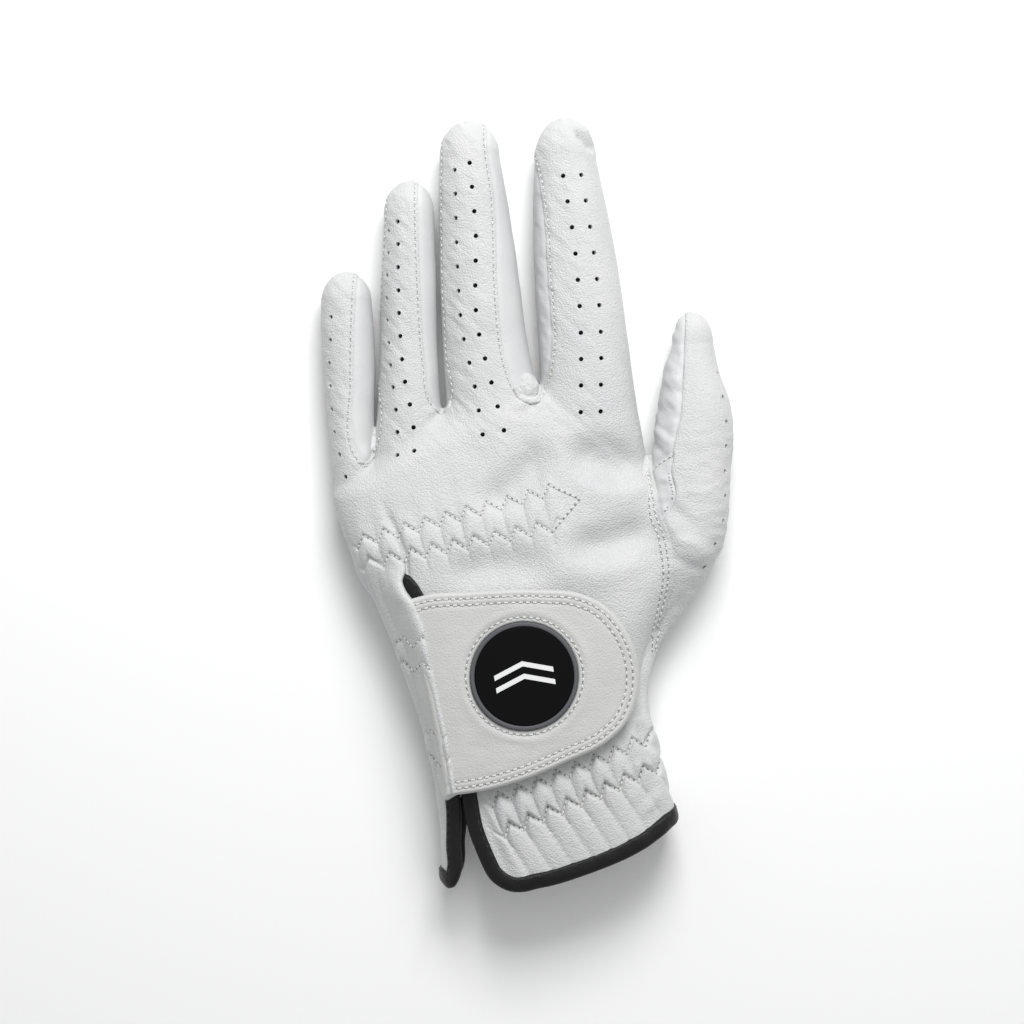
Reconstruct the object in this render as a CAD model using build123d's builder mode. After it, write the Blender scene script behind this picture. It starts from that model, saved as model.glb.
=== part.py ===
"""Left-hand golf glove, lying palm down.

Row frame in millimetres: +Y runs from the cuff to the fingertips, +X points to the thumb side,
+Z is up out of the back of the hand. The glove rests on z = 0.

The leather is a thin shell made of pillows: each pillow is a flat block with rounded top and
bottom edges whose plan is the hull round a few circles. Growing or shrinking every pillow by one
distance gives a parallel surface, so walls, bands and pads are all layers between two of them.
"""

import os
from math import atan2, cos, degrees, radians, sin

from build123d import *

os.makedirs("parts", exist_ok=True)

# ---------------------------------------------------------------- driving dimensions

LEATHER = 0.8
PALM_HEIGHT = 24.0
FINGER_HEIGHT = 17.0
THUMB_HEIGHT = 20.0
PALM_ROUNDING = 8.0
FINGER_ROUNDING_TOP = 6.0
FINGER_ROUNDING_BOTTOM = 5.0
THUMB_ROUNDING = 4.4

PALM_SEAM_Z = 5.0  # the palm panel lies below this height
BACK_SEAM_Z = 10.5  # between the two seams the finger gaps are closed by fourchettes

# Each finger is the hull round a base circle and a tip circle: (x, y, radius).
LITTLE = [(-43.5, 4.0, 8.0), (-46.2, 53.2, 7.3)]
RING = [(-29.0, 10.0, 9.0), (-31.2, 76.0, 8.2)]
MIDDLE = [(-9.5, 16.0, 11.0), (-15.0, 91.2, 9.0)]
INDEX = [(15.8, 12.0, 12.4), (10.4, 91.6, 8.8)]
FINGERS = {"little": LITTLE, "ring": RING, "middle": MIDDLE, "index": INDEX}
THUMB = [(38.6, -8.0, 12.2), (42.6, 17.0, 10.9), (44.2, 43.4, 5.2)]

WRIST_LEFT = (-17.4, -50.0, 12.0)
WRIST_RIGHT = (19.4, -50.0, 12.0)
PALM = [
    (-38.0, 0.0, 11.6),
    (-17.5, 11.6, 12.0),
    (5.0, 17.6, 12.0),
    (18.2, 8.0, 12.0),
    (37.8, -8.0, 12.6),
    WRIST_LEFT,
    WRIST_RIGHT,
]
CUFF = [WRIST_LEFT, WRIST_RIGHT, (-8.6, -122.0, 12.0), (36.6, -122.0, 12.0)]

# The open bottom edge of the cuff, from beyond the thumb side to beyond the little finger side.
CUFF_EDGE = [(70.0, -66.0), (39.0, -81.5), (16.0, -94.6), (-3.0, -100.4), (-9.0, -99.0)]
FLAP_EDGE = [(-17.4, -99.0), (-20.0, -100.4), (-70.0, -100.4)]
# The same edge on the palm side, which is cut away in an arch between the flap and the thumb side.
PALM_CUFF_EDGE = [(70.0, -66.0), (39.0, -81.5), (22.0, -80.5), (2.0, -80.0), (-10.0, -85.0), (-17.4, -99.0)]

# The slit in the back: it starts under the knuckle band and opens out at the cuff.
SLIT_TOP = (-30.2, -15.5)
SLIT_LEFT = [(-31.0, -16.5), (-28.4, -24.0), (-18.6, -75.0), (-17.8, -84.0)]
SLIT_RIGHT = [(-14.4, -88.0), (-16.6, -76.0), (-26.8, -24.0), (-29.4, -16.0)]

BINDING_WIDTH = 3.2
BINDING_GROWTH = 0.5  # how far the tape stands off the leather, inside and out
BINDING_BITE = 0.9  # the leather's raw edge stops this far inside the tape

# The closure tab: its sewn root runs along the slit's left side.
ROOT_TOP = (-28.6, -23.2)
ROOT_BOTTOM = (-18.4, -74.6)
# Its plan is the hull round these circles, small at the root and large at the free end.
TAB_CORNERS = [
    (-27.6, -24.2, 1.0),
    (-17.3, -73.5, 1.0),
    (6.0, -37.5, 16.5),
    (10.5, -43.5, 17.5),
    (10.5, -48.5, 18.0),
    (0.0, -52.6, 16.6),
]

LOOP_THICKNESS = 1.0
CLOSURE_GAP = 0.3
HOOK_THICKNESS = 0.8
LINING_THICKNESS = 0.5
CORE_THICKNESS = 1.4

HOOK_BOTTOM = LOOP_THICKNESS + CLOSURE_GAP
LINING_BOTTOM = HOOK_BOTTOM + HOOK_THICKNESS
CORE_BOTTOM = LINING_BOTTOM + LINING_THICKNESS
TOP_LEATHER_BOTTOM = CORE_BOTTOM + CORE_THICKNESS
TAB_TOP = TOP_LEATHER_BOTTOM + LEATHER

# The ball marker and its seat, one inch across as a standard marker is.
MARKER_CENTRE = (-0.9, -43.9)
MARKER_RADIUS = 12.6
MARKER_CLEARANCE = 0.1
SEAT_WALL = 1.1
SEAT_FLOOR = 0.5
SEAT_PROUD = 0.6
MARKER_BASE_THICKNESS = 0.7
MARKER_FACE_THICKNESS = 0.6
MAGNET_RADIUS = 5.0
MAGNET_THICKNESS = 0.8
EMBLEM_THICKNESS = 0.2

ELASTIC_THICKNESS = 0.8
# Each band is a straight strip: start, end and width.
KNUCKLE_BAND = ((-45.0, -10.0), (11.0, 0.6), 9.0)
BACK_WRIST_BAND = ((-9.0, -82.5), (37.0, -66.5), 10.0)
PALM_WRIST_BAND = ((-34.0, -63.0), (36.0, -63.0), 10.0)
PALM_HEEL_BAND = ((-42.0, -38.5), (4.0, -38.5), 10.0)

# The flap's leather is folded over along the root of the tab.
HEM_WIDTH = 4.0
HEM_THICKNESS = 1.4
HEM_SETBACK = 1.0

LOOP_PAD_CORNERS = [(-21.0, -28.0), (20.0, -28.0), (25.5, -40.0), (25.5, -60.0), (-12.6, -68.0)]
HOOK_PAD_CORNERS = [(-4.0, -26.0), (12.0, -26.0), (23.0, -36.0), (23.0, -55.0), (-4.0, -64.0)]
PAD_CORNER_RADIUS = 1.0

# The seam along the thumb lies in this plane; the quirk closes the crotch beside it.
THUMB_SEAM_POINT = (42.0, 17.0, 11.0)
THUMB_SEAM_NORMAL = (0.55, 0.0, 0.835)
QUIRK_REGION = [(20.0, 15.0), (20.0, 2.0), (35.0, 2.0), (36.2, 15.0)]

# Each fourchette starts at this height on the plan, below its crotch.
GAP_BOTTOM_Y = {"little_ring": -2.0, "ring_middle": 8.0, "middle_index": 16.0}

# A plain emblem: two flat chevrons, one above the other, on the marker's face.
EMBLEM_TILT = 9.0
CHEVRON_HALF_WIDTH = 7.6
CHEVRON_RISE = 2.6
CHEVRON_LINE = 1.3
CHEVRON_SPACING = 3.2

# Planes well clear of the glove, for cutting regions.
CEILING = PALM_HEIGHT + 10.0
FLOOR = -10.0
ABOVE_TIPS = 120.0
BELOW_CUFF = -140.0
FAR_LEFT, FAR_RIGHT = -90.0, 90.0

# ---------------------------------------------------------------- shapes that several parts share


def pillow(circles, height, top_rounding, bottom_rounding, grow=0.0):
    """Block on the hull round the circles, edges rounded, every surface moved outwards by grow."""
    with BuildPart() as block:
        with BuildSketch(Plane.XY.offset(-grow)):
            for x, y, radius in circles:
                with Locations((x, y)):
                    Circle(radius + grow)
            make_hull()
        extrude(amount=height + 2 * grow)
        fillet(block.faces().sort_by(Axis.Z)[-1].edges(), top_rounding + grow)
        fillet(block.faces().sort_by(Axis.Z)[0].edges(), bottom_rounding + grow)
    return block.part


def united(solids):
    with BuildPart() as whole:
        for solid in solids:
            add(solid)
    return whole.part


def wrist_body(grow=0.0):
    """The palm and the cuff, without fingers."""
    return united(
        pillow(circles, PALM_HEIGHT, PALM_ROUNDING, PALM_ROUNDING, grow) for circles in (PALM, CUFF)
    )


def hand_body(grow=0.0):
    """The palm, the cuff and the four fingers."""
    fingers = [
        pillow(circles, FINGER_HEIGHT, FINGER_ROUNDING_TOP, FINGER_ROUNDING_BOTTOM, grow)
        for circles in FINGERS.values()
    ]
    return united([wrist_body(grow), *fingers])


def thumb_body(grow=0.0):
    return pillow(THUMB, THUMB_HEIGHT, THUMB_ROUNDING, THUMB_ROUNDING, grow)


def polygon_prism(points, bottom, top):
    with BuildPart() as prism:
        with BuildSketch(Plane.XY.offset(bottom)):
            with BuildLine():
                Polyline(*points, close=True)
            make_face()
        extrude(amount=top - bottom)
    return prism.part


def offset_prism(points, amount, bottom, top):
    """Prism on a polygon whose outline has been moved out by amount, with round corners."""
    with BuildPart() as prism:
        with BuildSketch(Plane.XY.offset(bottom)):
            with BuildLine():
                Polyline(*points, close=True)
            make_face()
            offset(amount=amount)
        extrude(amount=top - bottom)
    return prism.part


def strip_prism(start, end, width, bottom, top):
    """Prism on a straight band of the given width from start to end."""
    length_x, length_y = end[0] - start[0], end[1] - start[1]
    angle = degrees(atan2(length_y, length_x))
    middle = ((start[0] + end[0]) / 2, (start[1] + end[1]) / 2)
    with BuildPart() as prism:
        with BuildSketch(Plane.XY.offset(bottom)):
            with Locations(Location((*middle, 0), (0, 0, angle))):
                Rectangle((length_x**2 + length_y**2) ** 0.5, width)
        extrude(amount=top - bottom)
    return prism.part


def layer(outer, inner, region, removed=()):
    """What lies inside outer and region, outside inner and outside everything in removed."""
    with BuildPart() as piece:
        add(outer)
        add(inner, mode=Mode.SUBTRACT)
        add(region, mode=Mode.INTERSECT)
        for solid in removed:
            add(solid, mode=Mode.SUBTRACT)
    return piece.part


def write(part, name):
    part.label = name
    export_step(part, f"parts/{name}.step")


# ---------------------------------------------------------------- the leather shell

EVERYWHERE = [
    (FAR_LEFT, ABOVE_TIPS),
    (FAR_LEFT, BELOW_CUFF),
    (FAR_RIGHT, BELOW_CUFF),
    (FAR_RIGHT, ABOVE_TIPS),
]

hand_outside = hand_body()
hand_inside = hand_body(-LEATHER)
thumb_outside = thumb_body()
thumb_inside = thumb_body(-LEATHER)

below_cuff = [(FLAP_EDGE[-1][0], BELOW_CUFF), (CUFF_EDGE[0][0], BELOW_CUFF)]
cuff_cut = [*CUFF_EDGE, *FLAP_EDGE, *below_cuff]
palm_cuff_cut = [*PALM_CUFF_EDGE, *FLAP_EDGE[1:], *below_cuff]
slit_cut = [SLIT_TOP, *SLIT_LEFT, FLAP_EDGE[0], CUFF_EDGE[-1], *SLIT_RIGHT]
middle_z = PALM_HEIGHT / 2


def cuff_prism(grow, palm_bottom):
    """What lies beyond the cuff's edge moved in by grow: one outline on the back, one on the palm."""
    return united(
        [
            offset_prism(cuff_cut, grow, middle_z, CEILING),
            offset_prism(palm_cuff_cut, grow, palm_bottom, middle_z),
        ]
    )


leather_cuff_cut = cuff_prism(BINDING_BITE, FLOOR)
leather_slit_cut = offset_prism(slit_cut, BINDING_BITE, middle_z, CEILING)

with BuildPart() as shell:
    add(hand_outside)
    add(hand_inside, mode=Mode.SUBTRACT)
    add(thumb_inside, mode=Mode.SUBTRACT)
    add(leather_cuff_cut, mode=Mode.SUBTRACT)
    add(leather_slit_cut, mode=Mode.SUBTRACT)

# The palm is a shallow tray; the back wraps round the outer sides and meets it there.
with BuildPart() as palm_panel:
    add(shell.part)
    add(polygon_prism(EVERYWHERE, FLOOR, PALM_SEAM_Z), mode=Mode.INTERSECT)
write(palm_panel.part, "palm_panel")

# A fourchette closes each gap between two fingers: it runs up the side of one and down the other.
def gap_region(left, right, bottom_y):
    """Plan region between two fingers' centre lines, from above their tips to below the crotch."""
    (left_base, left_tip), (right_base, right_tip) = left, right
    return [
        (left_base[0], bottom_y),
        (right_base[0], bottom_y),
        right_base[:2],
        right_tip[:2],
        (right_tip[0], ABOVE_TIPS),
        (left_tip[0], ABOVE_TIPS),
        left_tip[:2],
        left_base[:2],
    ]


NEIGHBOURS = {
    "little_ring": (LITTLE, RING),
    "ring_middle": (RING, MIDDLE),
    "middle_index": (MIDDLE, INDEX),
}
gap_prisms = {
    name: polygon_prism(gap_region(*pair, GAP_BOTTOM_Y[name]), PALM_SEAM_Z, BACK_SEAM_Z)
    for name, pair in NEIGHBOURS.items()
}
for gap_name, gap_prism in gap_prisms.items():
    with BuildPart() as fourchette:
        add(shell.part)
        add(gap_prism, mode=Mode.INTERSECT)
    write(fourchette.part, f"fourchette_{gap_name}")

with BuildPart() as back_panel:
    add(shell.part)
    add(polygon_prism(EVERYWHERE, PALM_SEAM_Z, CEILING), mode=Mode.INTERSECT)
    for gap_prism in gap_prisms.values():
        add(gap_prism, mode=Mode.SUBTRACT)
write(back_panel.part, "back_panel")

# ---------------------------------------------------------------- the thumb

with BuildPart() as thumb_shell:
    add(thumb_outside)
    add(thumb_inside, mode=Mode.SUBTRACT)
    add(hand_outside, mode=Mode.SUBTRACT)

thumb_seam = Plane(origin=THUMB_SEAM_POINT, z_dir=THUMB_SEAM_NORMAL)

with BuildPart() as thumb_back:
    add(thumb_shell.part)
    split(bisect_by=thumb_seam, keep=Keep.TOP)
write(thumb_back.part, "thumb_back")

quirk_prism = polygon_prism(QUIRK_REGION, FLOOR, CEILING)

with BuildPart() as thumb_front:
    add(thumb_shell.part)
    split(bisect_by=thumb_seam, keep=Keep.BOTTOM)
    add(quirk_prism, mode=Mode.SUBTRACT)
write(thumb_front.part, "thumb_front")

with BuildPart() as thumb_quirk:
    add(thumb_shell.part)
    split(bisect_by=thumb_seam, keep=Keep.BOTTOM)
    add(quirk_prism, mode=Mode.INTERSECT)
write(thumb_quirk.part, "thumb_quirk")

# ---------------------------------------------------------------- cuff binding

binding_outside = wrist_body(BINDING_GROWTH)
binding_inside = wrist_body(-LEATHER - BINDING_GROWTH)
band_all_round = cuff_prism(BINDING_WIDTH, 0.0)
cuff_hole = united(
    [polygon_prism(cuff_cut, middle_z, CEILING), polygon_prism(palm_cuff_cut, FLOOR, middle_z)]
)
slit_hole = polygon_prism(slit_cut, middle_z, CEILING)

cuff_binding = layer(
    binding_outside, binding_inside, band_all_round, [cuff_hole, slit_hole, shell.part]
)
write(cuff_binding, "cuff_binding")

# The slit's right edge is bound all the way up; its left edge only below the tab's root.
slit_band = offset_prism(slit_cut, BINDING_WIDTH, PALM_HEIGHT - PALM_ROUNDING, CEILING)
root_end_y = ROOT_BOTTOM[1] - 0.8
unbound_edge = polygon_prism(
    [
        (FAR_LEFT, 0.0),
        SLIT_TOP,
        (ROOT_TOP[0] + 0.8, ROOT_TOP[1] - 0.8),
        (ROOT_BOTTOM[0] + 0.4, root_end_y),
        (FAR_LEFT, root_end_y),
    ],
    FLOOR,
    CEILING,
)
slit_binding = layer(
    binding_outside,
    binding_inside,
    slit_band,
    [band_all_round, slit_hole, unbound_edge, shell.part],
)
write(slit_binding, "slit_binding")

# ---------------------------------------------------------------- elastic bands inside the leather

under_leather = wrist_body(-LEATHER)
under_elastic = wrist_body(-LEATHER - ELASTIC_THICKNESS)

slit_clearance = offset_prism(slit_cut, BINDING_WIDTH, middle_z, CEILING)
elastic_regions = {
    "knuckle_elastic": strip_prism(*KNUCKLE_BAND, BACK_SEAM_Z, CEILING),
    "wrist_elastic_back": strip_prism(*BACK_WRIST_BAND, middle_z, CEILING),
    "wrist_elastic_palm": strip_prism(*PALM_WRIST_BAND, FLOOR, PALM_SEAM_Z),
    "heel_elastic_palm": strip_prism(*PALM_HEEL_BAND, FLOOR, PALM_SEAM_Z),
}
for elastic_name, elastic_region in elastic_regions.items():
    clearances = [slit_clearance, band_all_round]
    write(layer(under_leather, under_elastic, elastic_region, clearances), elastic_name)

# ---------------------------------------------------------------- closure: loop pad and flap hem

ROOT_DIRECTION = atan2(ROOT_TOP[1] - ROOT_BOTTOM[1], ROOT_TOP[0] - ROOT_BOTTOM[0])
LEFT_OF_ROOT = (-sin(ROOT_DIRECTION), cos(ROOT_DIRECTION))


def beside_root(point, distance):
    """The point moved away from the slit, square to the tab's root, by distance."""
    return (point[0] + LEFT_OF_ROOT[0] * distance, point[1] + LEFT_OF_ROOT[1] * distance)


hem_region = polygon_prism(
    [
        beside_root(ROOT_TOP, HEM_SETBACK),
        beside_root(ROOT_TOP, HEM_SETBACK + HEM_WIDTH),
        beside_root(ROOT_BOTTOM, HEM_SETBACK + HEM_WIDTH),
        beside_root(ROOT_BOTTOM, HEM_SETBACK),
    ],
    PALM_HEIGHT - PALM_ROUNDING / 2,
    CEILING,
)
glove_surface = wrist_body()
flap_hem = layer(wrist_body(HEM_THICKNESS), glove_surface, hem_region)
write(flap_hem, "flap_hem")

loop_region = offset_prism(LOOP_PAD_CORNERS, PAD_CORNER_RADIUS, BACK_SEAM_Z, CEILING)
loop_pad = layer(wrist_body(LOOP_THICKNESS), glove_surface, loop_region)
write(loop_pad, "loop_pad")

# ---------------------------------------------------------------- closure tab


def tab_prism(inset=0.0):
    """Plan of the tab: straight along its sewn root, round at its free end."""
    with BuildPart() as prism:
        with BuildSketch(Plane.XY.offset(BACK_SEAM_Z)):
            for x, y, radius in TAB_CORNERS:
                with Locations((x, y)):
                    Circle(radius - inset)
            make_hull()
        extrude(amount=CEILING - BACK_SEAM_Z)
    return prism.part


EDGE_INSET = 0.5  # the lining and the core stop short of the leather's folded edge
tab_levels = {
    height: wrist_body(height)
    for height in (HOOK_BOTTOM, LINING_BOTTOM, CORE_BOTTOM, TOP_LEATHER_BOTTOM, TAB_TOP)
}
tab_inner_region = tab_prism(EDGE_INSET)

SEAT_RADIUS = MARKER_RADIUS + MARKER_CLEARANCE + SEAT_WALL
SEAT_BOTTOM_Z = PALM_HEIGHT + TOP_LEATHER_BOTTOM - SEAT_FLOOR
SEAT_TOP_Z = PALM_HEIGHT + TAB_TOP + SEAT_PROUD
MARKER_BOTTOM_Z = PALM_HEIGHT + TOP_LEATHER_BOTTOM
MAGNET_BOTTOM_Z = SEAT_BOTTOM_Z - MAGNET_THICKNESS


def disc(radius, bottom, thickness):
    """Round plate centred on the marker."""
    with BuildPart() as plate:
        with BuildSketch(Plane.XY.offset(bottom)):
            with Locations(MARKER_CENTRE):
                Circle(radius)
        extrude(amount=thickness)
    return plate.part


seat_pocket = disc(SEAT_RADIUS, SEAT_BOTTOM_Z, CEILING)
magnet_pocket = disc(MAGNET_RADIUS, MAGNET_BOTTOM_Z, MAGNET_THICKNESS)

hook_region = offset_prism(HOOK_PAD_CORNERS, PAD_CORNER_RADIUS, BACK_SEAM_Z, CEILING)
write(layer(tab_levels[LINING_BOTTOM], tab_levels[HOOK_BOTTOM], hook_region), "hook_pad")
write(layer(tab_levels[CORE_BOTTOM], tab_levels[LINING_BOTTOM], tab_inner_region), "tab_lining")
write(
    layer(
        tab_levels[TOP_LEATHER_BOTTOM],
        tab_levels[CORE_BOTTOM],
        tab_inner_region,
        [seat_pocket, magnet_pocket],
    ),
    "tab_core",
)
write(
    layer(tab_levels[TAB_TOP], tab_levels[TOP_LEATHER_BOTTOM], tab_prism(), [seat_pocket]),
    "tab_leather",
)

# ---------------------------------------------------------------- marker seat, magnet and marker

with BuildPart() as marker_seat:
    add(disc(SEAT_RADIUS, SEAT_BOTTOM_Z, SEAT_TOP_Z - SEAT_BOTTOM_Z))
    well_radius = MARKER_RADIUS + MARKER_CLEARANCE
    add(disc(well_radius, MARKER_BOTTOM_Z, CEILING), mode=Mode.SUBTRACT)
    top_edges = marker_seat.faces().sort_by(Axis.Z)[-1].edges()
    fillet(top_edges, SEAT_WALL / 3)
write(marker_seat.part, "marker_seat")

write(magnet_pocket, "seat_magnet")
write(disc(MARKER_RADIUS, MARKER_BOTTOM_Z, MARKER_BASE_THICKNESS), "marker_base")

face_bottom_z = MARKER_BOTTOM_Z + MARKER_BASE_THICKNESS
with BuildPart() as marker_face:
    add(disc(MARKER_RADIUS, face_bottom_z, MARKER_FACE_THICKNESS))
    fillet(marker_face.faces().sort_by(Axis.Z)[-1].edges(), MARKER_FACE_THICKNESS / 2)
write(marker_face.part, "marker_face")

emblem_tilt = radians(EMBLEM_TILT)
emblem_plane = Plane(
    origin=(*MARKER_CENTRE, face_bottom_z + MARKER_FACE_THICKNESS),
    x_dir=(cos(emblem_tilt), sin(emblem_tilt), 0),
    z_dir=(0, 0, 1),
)
with BuildPart() as marker_emblem:
    with BuildSketch(emblem_plane):
        for middle_y in (-CHEVRON_SPACING, 0.0):
            with BuildLine():
                Polyline(
                    (-CHEVRON_HALF_WIDTH, middle_y),
                    (0.0, middle_y + CHEVRON_RISE),
                    (CHEVRON_HALF_WIDTH, middle_y),
                    (CHEVRON_HALF_WIDTH, middle_y + CHEVRON_LINE),
                    (0.0, middle_y + CHEVRON_RISE + CHEVRON_LINE),
                    (-CHEVRON_HALF_WIDTH, middle_y + CHEVRON_LINE),
                    close=True,
                )
            make_face()
    extrude(amount=EMBLEM_THICKNESS)
write(marker_emblem.part, "marker_emblem")
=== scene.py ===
"""Looks of a left-hand leather golf glove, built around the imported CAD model.

The leather is one smooth surface, the zero level of a field made of tubes: the hand, four fingers and
the thumb. It is meshed, refined where it carries detail, cut along the seams into the same panels as the
CAD model, and then pushed in and out for gathers, wrinkles and seams. Shape work is in millimetres, in
the row frame: +Y to the fingertips, +X to the thumb, +Z up out of the back of the hand.
"""

import math

import bpy
import numpy as np
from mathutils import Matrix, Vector
from mathutils.bvhtree import BVHTree
from mathutils.kdtree import KDTree


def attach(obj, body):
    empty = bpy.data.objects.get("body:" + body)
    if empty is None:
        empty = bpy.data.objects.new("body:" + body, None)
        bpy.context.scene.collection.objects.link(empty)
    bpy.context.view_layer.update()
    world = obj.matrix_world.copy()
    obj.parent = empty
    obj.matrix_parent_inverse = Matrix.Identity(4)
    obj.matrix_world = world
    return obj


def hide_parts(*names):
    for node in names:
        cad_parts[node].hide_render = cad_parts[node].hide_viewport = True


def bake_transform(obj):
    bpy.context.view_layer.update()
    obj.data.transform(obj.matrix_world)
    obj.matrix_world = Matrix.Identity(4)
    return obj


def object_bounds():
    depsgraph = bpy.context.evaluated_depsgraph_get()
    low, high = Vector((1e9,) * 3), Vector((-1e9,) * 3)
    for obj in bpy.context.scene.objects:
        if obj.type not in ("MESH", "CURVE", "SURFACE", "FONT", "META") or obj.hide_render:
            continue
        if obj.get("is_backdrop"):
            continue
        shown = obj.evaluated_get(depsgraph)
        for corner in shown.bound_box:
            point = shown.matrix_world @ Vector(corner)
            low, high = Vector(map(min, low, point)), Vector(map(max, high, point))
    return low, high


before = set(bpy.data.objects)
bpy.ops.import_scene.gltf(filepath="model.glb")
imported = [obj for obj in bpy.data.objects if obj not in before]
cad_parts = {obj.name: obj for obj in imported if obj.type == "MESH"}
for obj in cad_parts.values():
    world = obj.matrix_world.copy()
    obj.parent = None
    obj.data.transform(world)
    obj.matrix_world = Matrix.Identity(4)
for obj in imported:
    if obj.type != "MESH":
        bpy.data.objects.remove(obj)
cad_low, cad_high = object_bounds()

MM = 0.001
LEATHER = 0.8  # thickness

# ---- sizes of the leather surface

# Each tube is a list of sections across y: (y, left x, right x, lowest z, highest z).
HAND = [
    (-108, -21.8, 43.4, 0.4, 22.0), (-92, -22.4, 40.6, 0.3, 22.8), (-78, -23.4, 37.9, 0.2, 23.4),
    (-64, -26.2, 34.0, 0.0, 23.8), (-52, -29.4, 31.4, 0.0, 24.0), (-40, -33.6, 32.6, 0.0, 24.0),
    (-26, -39.4, 36.0, 0.0, 24.0), (-12, -45.6, 37.0, 0.0, 23.6), (0, -49.2, 35.0, 0.0, 22.2),
    (12, -51.2, 32.0, 0.1, 20.2), (24, -52.0, 29.0, 0.2, 18.4),
]
LITTLE = [
    (-14, -45.0, -30.0, 2.0, 16.5), (0, -49.8, -34.0, 0.8, 17.0), (11, -51.2, -39.6, 0.4, 16.9),
    (20, -52.1, -40.0, 0.2, 16.4), (34, -53.4, -39.9, 0.0, 15.6), (46, -53.9, -40.3, 0.1, 15.0),
    (53, -53.9, -40.8, 0.3, 14.4),
]
RING = [
    (-6, -41.5, -19.0, 2.0, 16.8), (12, -40.6, -19.6, 0.4, 17.6), (24, -39.3, -22.4, 0.1, 17.4),
    (36, -38.7, -23.3, 0.0, 17.0), (56, -38.2, -23.9, 0.0, 16.4), (76, -37.5, -24.4, 0.3, 15.2),
]
MIDDLE = [
    (-2, -22.4, 8.0, 2.0, 17.4), (12, -21.6, 6.6, 0.6, 18.4), (24, -21.0, 4.4, 0.2, 18.6),
    (32, -21.6, 2.1, 0.0, 18.3), (46, -22.4, -0.4, 0.0, 17.9), (66, -22.9, -3.2, 0.0, 17.4),
    (82, -23.2, -5.6, 0.2, 16.8), (91, -23.0, -7.2, 0.4, 16.0),
]
INDEX = [
    (-10, 4.0, 31.0, 2.0, 17.6), (4, 2.6, 31.6, 0.8, 18.6), (16, 2.2, 30.4, 0.3, 19.0),
    (24, 2.8, 28.9, 0.1, 19.0), (31, 3.5, 27.8, 0.0, 18.8), (42, 2.9, 26.4, 0.0, 18.4),
    (56, 2.1, 24.5, 0.0, 18.0), (74, 1.5, 21.4, 0.1, 17.2), (90, 1.8, 17.9, 0.5, 15.9),
]
THUMB = [
    (-44, 12.0, 30.6, 3.0, 17.5), (-34, 15.0, 36.2, 0.8, 19.6), (-26, 19.0, 41.8, 0.2, 20.6),
    (-18, 23.0, 47.2, 0.0, 20.9), (-11, 26.0, 51.0, 0.0, 20.7), (-3, 28.8, 52.5, 0.0, 20.2),
    (8, 31.3, 53.2, 0.0, 19.2), (19, 33.1, 53.8, 0.2, 18.0), (28, 34.7, 52.6, 0.6, 16.5),
    (34, 35.6, 50.4, 1.1, 15.3), (42, 37.7, 48.6, 2.0, 13.0),
]
DIGITS = [(7.8, LITTLE), (8.6, RING), (9.5, MIDDLE), (11.3, INDEX), (8.3, THUMB)]  # with their tips' lengths
BASE_LENGTH = 9.0  # how far a tube's rounded root reaches back below its first section

# Where the hand's tube ends between the fingers: (x, y).
HAND_END = [(-54, 0), (-42, 2.5), (-31, 9), (-21, 14.5), (-8, 19), (3, 20.5), (14, 18), (25, 8), (34, 0)]
HAND_END_LENGTH = 10.0

# Exponents of a section's upper and lower half: 2 is an ellipse, more is squarer.
HAND_SQUARENESS = (2.9, 3.3)
FINGER_SQUARENESS = (2.15, 2.7)
WEB_BLEND = 3.6  # radius of the blend between a finger and the hand
THUMB_BLEND = 2.4

# ---- smooth curves


def smooth(x, points):
    """A smooth curve through (x, value) points, evaluated at x and held flat beyond its ends."""
    xs, values = (np.array(column, float) for column in zip(*points))
    slopes = np.gradient(values, xs)
    x = np.clip(x, xs[0], xs[-1])
    at = np.clip(np.searchsorted(xs, x, side="right") - 1, 0, len(xs) - 2)
    width = xs[at + 1] - xs[at]
    t = (x - xs[at]) / width
    return (
        values[at] * (1 + 2 * t) * (1 - t) ** 2
        + slopes[at] * width * t * (1 - t) ** 2
        + values[at + 1] * t * t * (3 - 2 * t)
        + slopes[at + 1] * width * t * t * (t - 1)
    )


def smooth_union(a, b, radius):
    """The lesser of two fields, rounded over where they are within radius of each other."""
    share = np.clip(radius - np.abs(a - b), 0, None) / radius
    return np.minimum(a, b) - share * share * radius / 4


def section(rows, y):
    """A tube's left, right, lowest and highest place at y."""
    places, *sides = zip(*rows)
    return [smooth(y, list(zip(places, side))) for side in sides]


def tube(x, y, z, rows, squareness, tip_y, tip_length, base_length):
    """Field of a tube: negative inside, and close to the distance in millimetres near its surface."""
    left, right, low, high = section(rows, y)
    off_x, off_z = x - (left + right) / 2, z - (low + high) / 2
    across, up = off_x / ((right - left) / 2), off_z / ((high - low) / 2)
    beyond = np.clip(y - tip_y, 0, None) / tip_length + np.clip(rows[0][0] - y, 0, None) / base_length
    off_y = beyond * np.where(y > tip_y, tip_length, base_length)
    power = np.where(up > 0, *squareness)
    around = (np.abs(across) ** power + np.abs(up) ** power) ** (1 / power)
    radius = np.sqrt(around**2 + beyond**2)
    reach = np.sqrt(off_x**2 + off_y**2 + off_z**2)
    return reach * (1 - 1 / np.maximum(radius, 0.05))


def glove_field(x, y, z):
    hand = tube(x, y, z, HAND, HAND_SQUARENESS, smooth(x, HAND_END), HAND_END_LENGTH, 1.0)
    *fingers, thumb = (
        tube(x, y, z, rows, FINGER_SQUARENESS, rows[-1][0], tip, BASE_LENGTH) for tip, rows in DIGITS)
    hand = smooth_union(hand, np.minimum.reduce(fingers), WEB_BLEND)
    return smooth_union(hand, thumb, THUMB_BLEND)


# ---- meshing a field


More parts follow.
